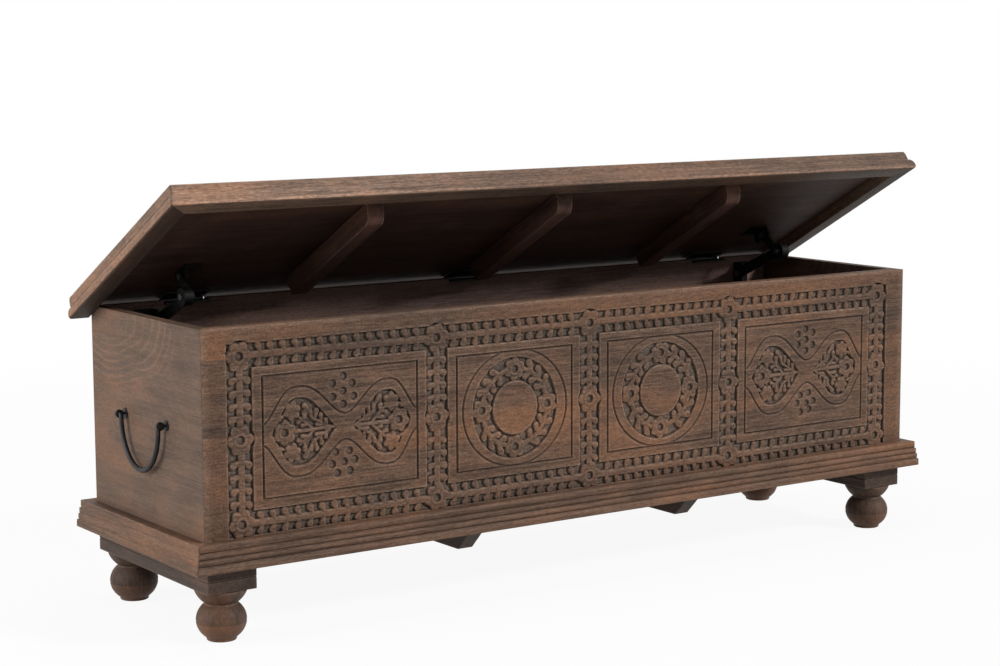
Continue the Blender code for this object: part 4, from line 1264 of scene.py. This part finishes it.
def moulding(profile, half_run, left_end=None, right_end=None):
    """A strip along X of (out, height) points, mitred at half_run or cut square at a given end."""
    bm = bmesh.new()
    sections = max(2, int(2 * half_run / SECTION_STEP))
    rings = []
    for i in range(sections + 1):
        share = i / sections
        drift = WANDER * math.sin(share * half_run * WANDER_RATE) if 0 < i < sections else 0.0
        ring = []
        for out, height in profile:
            reach = half_run + out - MITRE_GAP / 2
            low = -reach if left_end is None else left_end
            high = reach if right_end is None else right_end
            ring.append(bm.verts.new((low + (high - low) * share, -out - drift, height)))
        rings.append(ring)
    return joined(bm, rings)


def half_run_and_face(side):
    """Half the chest's length along a side, and how far out that side lies."""
    if side in ("front", "back"):
        return CHEST_HALF_LENGTH, CHEST_HALF_DEPTH
    return CHEST_HALF_DEPTH, CHEST_HALF_LENGTH


def strip_on_side(profile, side, *ends):
    """A strip made for the front, turned so that it lies on its own side of the chest."""
    half_run, face = half_run_and_face(side)
    bm = moulding(profile, half_run, *ends)
    turn = Matrix.Rotation(math.pi / 2 * QUARTER_TURNS[side], 4, "Z")
    bm.transform(turn @ Matrix.Translation((0, -face, 0)))
    return bm


print("chest:", round(2 * CHEST_HALF_LENGTH, 4), "by", round(2 * CHEST_HALF_DEPTH, 4), "m")

# %% [markdown]
# ### The base moulding
# It steps out from the chest in four rounded members. Narrow quirks between them draw dark lines
# along the front; round the ends and the back they are shallow. Each step lists how far down it
# starts, and how far out its upper and its lower edge lie.

# %% Base moulding
moulding_low, moulding_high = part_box("front_base_moulding")
SEAT = 0.0003
BASE_OUT = -moulding_low.y - CHEST_HALF_DEPTH
BASE_CORNER = 0.0004
QUIRK = 0.0011
DEEP_QUIRK = 0.0034
SHALLOW_QUIRK = 0.0005
UNDER_SHARE = 0.4
TURN_UNDER = 0.6
BASE_STEPS = (
    (0.0, 0.0128, 0.0181),
    (0.0115, 0.0164, 0.0199),
    (0.0205, 0.0177, 0.0212),
    (0.0298, 0.0190, BASE_OUT),
)


def base_profile(quirk_depth):
    """Four rounded members, each a little further out, with a narrow quirk between them."""
    turn_under = quirk_depth * TURN_UNDER
    height = moulding_high.z - moulding_low.z
    profile = [(SEAT, moulding_low.z), (SEAT, moulding_high.z)]
    for i, (drop, upper_out, lower_out) in enumerate(BASE_STEPS):
        last = i == len(BASE_STEPS) - 1
        end = height if last else BASE_STEPS[i + 1][0] - QUIRK
        top = moulding_high.z - drop
        low = moulding_high.z - end
        widest = low if last else low + (top - low) * UNDER_SHARE
        upper_out = max(upper_out, lower_out - quirk_depth)
        profile += arc((upper_out, widest), (lower_out - upper_out, top - widest), 90, 0, 8)
        if not last:
            profile += arc((lower_out - turn_under, widest), (turn_under, widest - low), 0, -80, 6)[1:]
            profile += [(lower_out - quirk_depth, low), (lower_out - quirk_depth, low - QUIRK)]
    return profile


for side in QUARTER_TURNS:
    profile = base_profile(DEEP_QUIRK if side == "front" else SHALLOW_QUIRK)
    bm = strip_on_side(eased_profile(profile, BASE_CORNER), side)
    finish = {"front": "front_base", "back": "long_board"}.get(side, "cross_board")
    mesh = mesh_from(side, bm)
    dress(f"{side}_base_strip", mesh, finish, "chest", [f"{side}_base_moulding"])
print("base moulding:", len(QUARTER_TURNS), "strips")

# %% [markdown]
# ### The lid's edge
# A flat bead lies over a rounded nose, and the underside is flat. Along the sides a narrow quirk parts
# the bead from the nose. The strips are drawn for a shut lid, round the same chest, and then turned
# about the hinge with the lid.

# %% Lid edge
LID_AXIS = Vector(joints["lid_hinge"]["pos_m"])
LID_TURN = Matrix.Rotation(-LID_OPEN, 4, "X")
LID_TURN = Matrix.Translation(LID_AXIS) @ LID_TURN @ Matrix.Translation(-LID_AXIS)
LID_GAP = 0.0003
LID_PANEL_THICK = 0.0175
LID_PANEL_TOP = front_high.z + LID_GAP + LID_PANEL_THICK
LID_TOP_OUT = 0.0245
LID_BEAD_OUT = 0.003
LID_BEAD_HEIGHT = 0.0158
LID_QUIRK = 0.0014
LID_QUIRK_DEPTH = 0.0034
LID_QUIRK_HEIGHT = 0.0008
LID_NOSE_OUT = 0.0095
LID_NOSE = 0.0042
LID_EDGE_HEIGHT = 0.0347
LID_SEAT = 0.002
LID_REAR = 0.012
LID_CORNER = 0.0006


def lid_profile(quirk_height):
    """A flat bead over a rounded nose, perhaps with a quirk between them."""
    low = LID_PANEL_TOP - LID_EDGE_HEIGHT
    bead_low = LID_PANEL_TOP - LID_BEAD_HEIGHT
    quirk = LID_TOP_OUT + LID_BEAD_OUT - LID_QUIRK
    nose = LID_TOP_OUT + LID_NOSE_OUT
    nose_low = low + LID_NOSE
    profile = [(LID_SEAT, low), (LID_SEAT, LID_PANEL_TOP)]
    profile += arc((LID_TOP_OUT, bead_low), (LID_BEAD_OUT, LID_BEAD_HEIGHT), 90, 0, 12)
    deepest = LID_TOP_OUT + LID_BEAD_OUT - LID_QUIRK_DEPTH
    if quirk_height:
        profile += [(deepest, bead_low), (deepest, bead_low - quirk_height)]
    profile += arc((quirk, nose_low), (nose - quirk, bead_low - quirk_height - nose_low), 90, 0, 14)
    profile += arc((nose - LID_NOSE, nose_low), (LID_NOSE, LID_NOSE), -15, -90, 5)
    return profile


rear = CHEST_HALF_DEPTH + LID_REAR
LID_ENDS = {"front": (None, None), "left": (-rear, None), "right": (None, rear)}
for side, ends in LID_ENDS.items():
    profile = lid_profile(0.0 if side == "front" else LID_QUIRK_HEIGHT)
    bm = strip_on_side(eased_profile(profile, LID_CORNER), side, *ends)
    bm.transform(LID_TURN)
    finish = "lid_edge" if side == "front" else "lid_side"
    dress(f"{side}_lid_edge", mesh_from(side, bm), finish, "lid", [f"lid_{side}_rail"])
print("lid edge:", len(LID_ENDS), "strips, open", round(math.degrees(LID_OPEN), 1), "degrees")

# %% [markdown]
# ## Turned feet
# Each foot came off a lathe: a pad, a ball with a thin line scored round it, a narrow neck with a
# small fillet, and a cup that flares to the rail. A turned form is its profile spun round, so the
# profile is drawn first, from the floor up.

# %% A foot's profile
FOOT_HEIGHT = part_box("front_left_foot")[1].z
PAD = 0.0215
PAD_HEIGHT = 0.004
PAD_EASE = 0.001
BALL = 0.0362
NECK = 0.024
NECK_HEIGHT = 0.053
FILLET = 0.0015
CUP = 0.0375
CUP_BULGE = 0.35
CUP_BAND = 0.003
CUP_EASE = 0.0006
BOLT_HOLE = 0.0043
BOLT_DEPTH = 0.035
SCORE_DEPTH = 0.0011
SCORE_HALF = 0.0012
SCORE_BELOW = 0.002


def foot_profile():
    """(radius, height) points from the middle of the pad round to the bottom of the bolt hole."""
    low = math.acos(PAD / BALL)
    high = math.acos(NECK / BALL)
    rise = (NECK_HEIGHT - PAD_HEIGHT) / (math.sin(low) + math.sin(high))
    middle = PAD_HEIGHT + rise * math.sin(low)
    ball = arc((0, middle), (BALL, rise), -math.degrees(low), math.degrees(high), 30)
    scored = []
    for radius, height in ball:
        near_line = max(0.0, 1 - abs(height - middle + SCORE_BELOW) / SCORE_HALF)
        scored.append((radius - SCORE_DEPTH * near_line, height))
    profile = [(0, 0), (PAD - PAD_EASE, 0), (PAD, PAD_EASE), (PAD, PAD_HEIGHT - PAD_EASE)]
    profile += scored[1:-1]
    profile += [(NECK, NECK_HEIGHT), (NECK, NECK_HEIGHT + FILLET)]
    cup_low = Vector((NECK, NECK_HEIGHT + FILLET))
    cup_high = Vector((CUP, FOOT_HEIGHT - CUP_BAND))
    bulged = arc((NECK, cup_high.y), cup_high - cup_low, -84, 0, 12)
    for i, point in enumerate(bulged):
        straight = cup_low.lerp(cup_high, (i + 1) / len(bulged))
        profile.append(tuple(straight.lerp(Vector(point), CUP_BULGE)))
    profile += [(CUP, FOOT_HEIGHT - CUP_EASE), (CUP - CUP_EASE, FOOT_HEIGHT), (BOLT_HOLE, FOOT_HEIGHT)]
    profile += [(BOLT_HOLE, FOOT_HEIGHT - BOLT_DEPTH), (0, FOOT_HEIGHT - BOLT_DEPTH)]
    return profile


print("foot:", FOOT_HEIGHT, "m high,", len(foot_profile()), "points")

# %% [markdown]
# ### Spinning the feet
# The profile is turned round the foot's own axis in many steps. A Screw modifier could do it, but
# points on the axis would then lie on top of each other, so the rings are made here: one point on
# the axis and a full ring elsewhere.

# %% Feet
LATHE_STEPS = 64


def spun(profile, steps):
    """A profile of (radius, height) points spun round Z."""
    bm = bmesh.new()
    rings = []
    for radius, height in profile:
        sides = steps if radius else 1
        turns = [2 * math.pi * i / steps for i in range(sides)]
        rings.append([bm.verts.new((radius * math.cos(t), radius * math.sin(t), height)) for t in turns])
    for low, high in zip(rings, rings[1:]):
        for i in range(steps):
            j = (i + 1) % steps
            corners = [low[i % len(low)], low[j % len(low)], high[j % len(high)], high[i % len(high)]]
            bm.faces.new(dict.fromkeys(corners))
    return bm


for place in ("front_left", "front_right", "back_left", "back_right"):
    low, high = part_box(place + "_foot")
    bm = spun(foot_profile(), LATHE_STEPS)
    bm.transform(Matrix.Translation(((low.x + high.x) / 2, (low.y + high.y) / 2, 0)))
    dress(place + "_bun", mesh_from(place, bm), "turned_foot", "chest", [place + "_foot"])
print("feet: 4")

# %% [markdown]
# ## Handles
# Each handle is a bar of round iron bent to a bow and hung in two eyes. It swells a little towards the
# middle, where a hand grips it, and its ends are upset into small heads, so that it can't slip out of
# its eyes. The bar's line is drawn first, as points in the plane that it hangs in.

# %% The bow's line
BOW_HALF = 0.0605
BOW_DROP = 0.073
BOW_BEND = 0.0045
BOW_END = 0.0710
HEAD_LENGTH = 0.0015
HEAD_STEP = 0.0001


def bow_line():
    """Half of the bar's line as (y, z): the stub, the bend and the bow, then mirrored."""
    inner = -BOW_END + HEAD_LENGTH
    half = [(-BOW_END, 0.0), (inner, 0.0), (inner + HEAD_STEP, 0.0)]
    half += arc((-BOW_HALF - BOW_BEND, -BOW_BEND), (BOW_BEND, BOW_BEND), 90, 0, 8)
    bow = arc((0, -BOW_BEND), (BOW_HALF, BOW_DROP - BOW_BEND), 180, 360, 72)
    return half + bow[1:-1] + [(-y, z) for y, z in reversed(half)]


print("bow:", round(2 * BOW_END, 3), "m wide,", BOW_DROP, "m deep")

# %% [markdown]
# ### Sweeping the bar
# A round section is carried along the line, square to it at each point. A curve with a bevel would
# do the same, but here the section's size can change freely, for the swell and the heads.

# %% Bail handles
HANDLE_AXIS = Vector(joints["right_handle_swing"]["pos_m"])
BOW_WIRE = 0.0035
BOW_SWELL = 0.0004
BOW_HEAD = 0.0044
BOW_SIDES = 20


def swept_bow():
    """The bar as a closed mesh, hung from the origin."""
    line = [Vector((0, y, z)) for y, z in bow_line()]
    bm = bmesh.new()
    rings = []
    for i, point in enumerate(line):
        ahead = (line[min(i + 1, len(line) - 1)] - line[max(i - 1, 0)]).normalized()
        side = Vector((1, 0, 0))
        up = side.cross(ahead)
        radius = BOW_WIRE + BOW_SWELL * max(0.0, -point.z / BOW_DROP) ** 2
        if i < 2 or i > len(line) - 3:
            radius = BOW_HEAD
        ring = []
        for k in range(BOW_SIDES):
            angle = 2 * math.pi * k / BOW_SIDES
            outward = side * math.cos(angle) + up * math.sin(angle)
            ring.append(bm.verts.new(point + outward * radius))
        rings.append(ring)
    return joined(bm, rings)


for side, name in ((-1, "left"), (1, "right")):
    bm = swept_bow()
    bm.transform(Matrix.Translation((side * HANDLE_AXIS.x, HANDLE_AXIS.y, HANDLE_AXIS.z)))
    mesh = mesh_from(name, bm)
    dress(f"{name}_handle_bow", mesh, "black_iron", f"{name}_handle", [f"{name}_bail"])
print("handles: 2")

# %% [markdown]
# ## Iron that keeps its own solid
# The hinge leaves, pins, stays, brackets, eyes and bolts are right as they are: small, plain and
# machine-made. They only need their finish.

# %% Finish the small metal pieces
STEEL_WORDS = ("_pin", "_bolt")
for name, solid in nodes.items():
    if solid.hide_render:
        continue
    slot = "zinc_steel" if name.endswith(STEEL_WORDS) else "black_iron"
    finish = slot
    if "stay" in name:
        finish = "dull_pin" if slot == "zinc_steel" else "stay_iron"
    solid.data.materials.clear()
    solid.data.materials.append(finishes[finish])
print("solids kept:", sum(not solid.hide_render for solid in nodes.values()))

# %% [markdown]
# ## Floor
# The bench stands on a plain pale floor. Rays from the camera, and rays that shiny pieces throw back,
# see it as almost white, and what is left is a matte grey that keeps the bench's soft shadow. The floor
# could be lit until it is white, but then the bench would be too bright as well.

# %% Floor
FLOOR_HALF = 9.0
FLOOR_GREY = (0.70, 0.70, 0.69, 1)
WHITE = (1, 1, 1, 1)
SHADOWED_WHITE = 0.92
SHADOW_ENDS = (1.0, 3.0)


def seen_as_white(start):
    """1 for rays from the camera, and for those that a shiny or clear surface passes on."""
    camera_ray = start.node("LightPath", out="Is Camera Ray")
    glossy_ray = start.node("LightPath", out="Is Glossy Ray")
    clear_ray = start.node("LightPath", out="Is Transmission Ray")
    return start.maths("MAXIMUM", camera_ray, start.maths("MAXIMUM", glossy_ray, clear_ray))


floor_mesh = bpy.data.meshes.new("floor")
corners = [(x * FLOOR_HALF, y * FLOOR_HALF, 0) for x, y in ((-1, -1), (1, -1), (1, 1), (-1, 1))]
floor_mesh.from_pydata(corners, [], [(0, 1, 2, 3)])
floor = bpy.data.objects.new("floor", floor_mesh)
bpy.context.scene.collection.objects.link(floor)
floor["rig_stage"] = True

pale, start, shader = new_finish("pale_floor")
spot = start.node("TexCoord", out="Object")
far = start.node("VectorMath", {"operation": "LENGTH"}, {0: spot}, out="Value").ease(*SHADOW_ENDS)
matte = start.node("BsdfDiffuse", None, {"Color": FLOOR_GREY})
white = start.node("Emission", None, {"Color": WHITE, "Strength": 1.0})
share = seen_as_white(start) * (SHADOWED_WHITE + far * (1 - SHADOWED_WHITE))
shown = start.node("MixShader", None, {0: share, 1: matte, 2: white})
pale.node_tree.links.new(shown.socket, pale.node_tree.nodes["Material Output"].inputs["Surface"])
pale.node_tree.nodes.remove(shader)
floor_mesh.materials.append(pale)
print("floor:", 2 * FLOOR_HALF, "m square")

# %% [markdown]
# ## Background
# The world lights the bench a little from all sides. To the camera, and in what shiny pieces mirror,
# it is plain white, by the same mask as the floor's.

# %% Background
AMBIENT = 0.2
world = bpy.data.worlds.new("studio")
bpy.context.scene.world = world
world.use_nodes = True
sky = Value(world.node_tree)
soft_light = sky.node("Background", None, {"Color": WHITE, "Strength": AMBIENT})
plain_white = sky.node("Background", None, {"Color": WHITE, "Strength": 1.0})
backdrop = sky.node("MixShader", None, {0: seen_as_white(sky), 1: soft_light, 2: plain_white})
world.node_tree.links.new(backdrop.socket, world.node_tree.nodes["World Output"].inputs["Surface"])
print("background: white, ambient light", AMBIENT)

# %% [markdown]
# ## Lamps
# A big lamp high on the right rakes across the carving, so that the leaves throw short shadows down to
# the left. A second one lights the left end, and a third fills in from above. They are square area
# lamps, like a studio's soft boxes, because their size sets how soft the shadows are.

# %% Lamps


def lamp(name, place, aim, size, power):
    """A square soft lamp at a place, turned to a point."""
    data = bpy.data.lights.new(name, "AREA")
    data.shape = "SQUARE"
    data.size = size
    data.energy = power
    made = bpy.data.objects.new(name, data)
    bpy.context.scene.collection.objects.link(made)
    made.location = place
    made.rotation_mode = "QUATERNION"
    made.rotation_quaternion = (Vector(aim) - Vector(place)).to_track_quat("-Z", "Y")


LAMPS = {
    "high_right": ((5.0, -7.4, 5.6), (0, 0, 0.3), 1.5, 905),
    "left_end": ((-2.8, 0.4, 0.9), (-0.6, 0, 0.25), 1.6, 56),
    "overhead": ((0.0, 0.3, 3.0), (0, 0, 0.4), 2.0, 40),
}
for name, setting in LAMPS.items():
    lamp(name, *setting)
print("lamps:", ", ".join(LAMPS))

# %% [markdown]
# ## Camera
# The camera stands before the left end, a little above the lid, and looks along the front with a long
# lens. Its place and turns were found by fitting the bench's own edges and corners to a picture of it.
# It is written as a place and three turns, from which the camera's own axes follow.

# %% Camera
LENS = 79.74
SENSOR = 36.0
CAMERA_PLACE = Vector((-2.0458, -2.8826, 0.8448))
CAMERA_YAW = 0.6063
CAMERA_PITCH = 0.1327
CAMERA_ROLL = -0.0039

flat = math.cos(CAMERA_PITCH)
ahead = Vector((math.sin(CAMERA_YAW) * flat, math.cos(CAMERA_YAW) * flat, -math.sin(CAMERA_PITCH)))
level = Vector((math.cos(CAMERA_YAW), -math.sin(CAMERA_YAW), 0))
upright = level.cross(ahead)
right = level * math.cos(CAMERA_ROLL) + upright * math.sin(CAMERA_ROLL)
up = upright * math.cos(CAMERA_ROLL) - level * math.sin(CAMERA_ROLL)
camera_data = bpy.data.cameras.new("photo_view")
camera_data.lens = LENS
camera_data.sensor_width = SENSOR
camera = bpy.data.objects.new("photo_view", camera_data)
bpy.context.scene.collection.objects.link(camera)
turn = Matrix((right, up, -ahead)).transposed().to_4x4()
camera.matrix_world = Matrix.Translation(CAMERA_PLACE) @ turn
bpy.context.scene.camera = camera
bpy.context.scene.view_settings.view_transform = "Standard"
print("camera:", tuple(round(x, 3) for x in camera.location))

# %% [markdown]
# ## The size
# The dressed bench's size is printed; it should be the size of its frame.

# %% Sizes
low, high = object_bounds()
print("size:", [round(b - a, 4) for a, b in zip(low, high)])
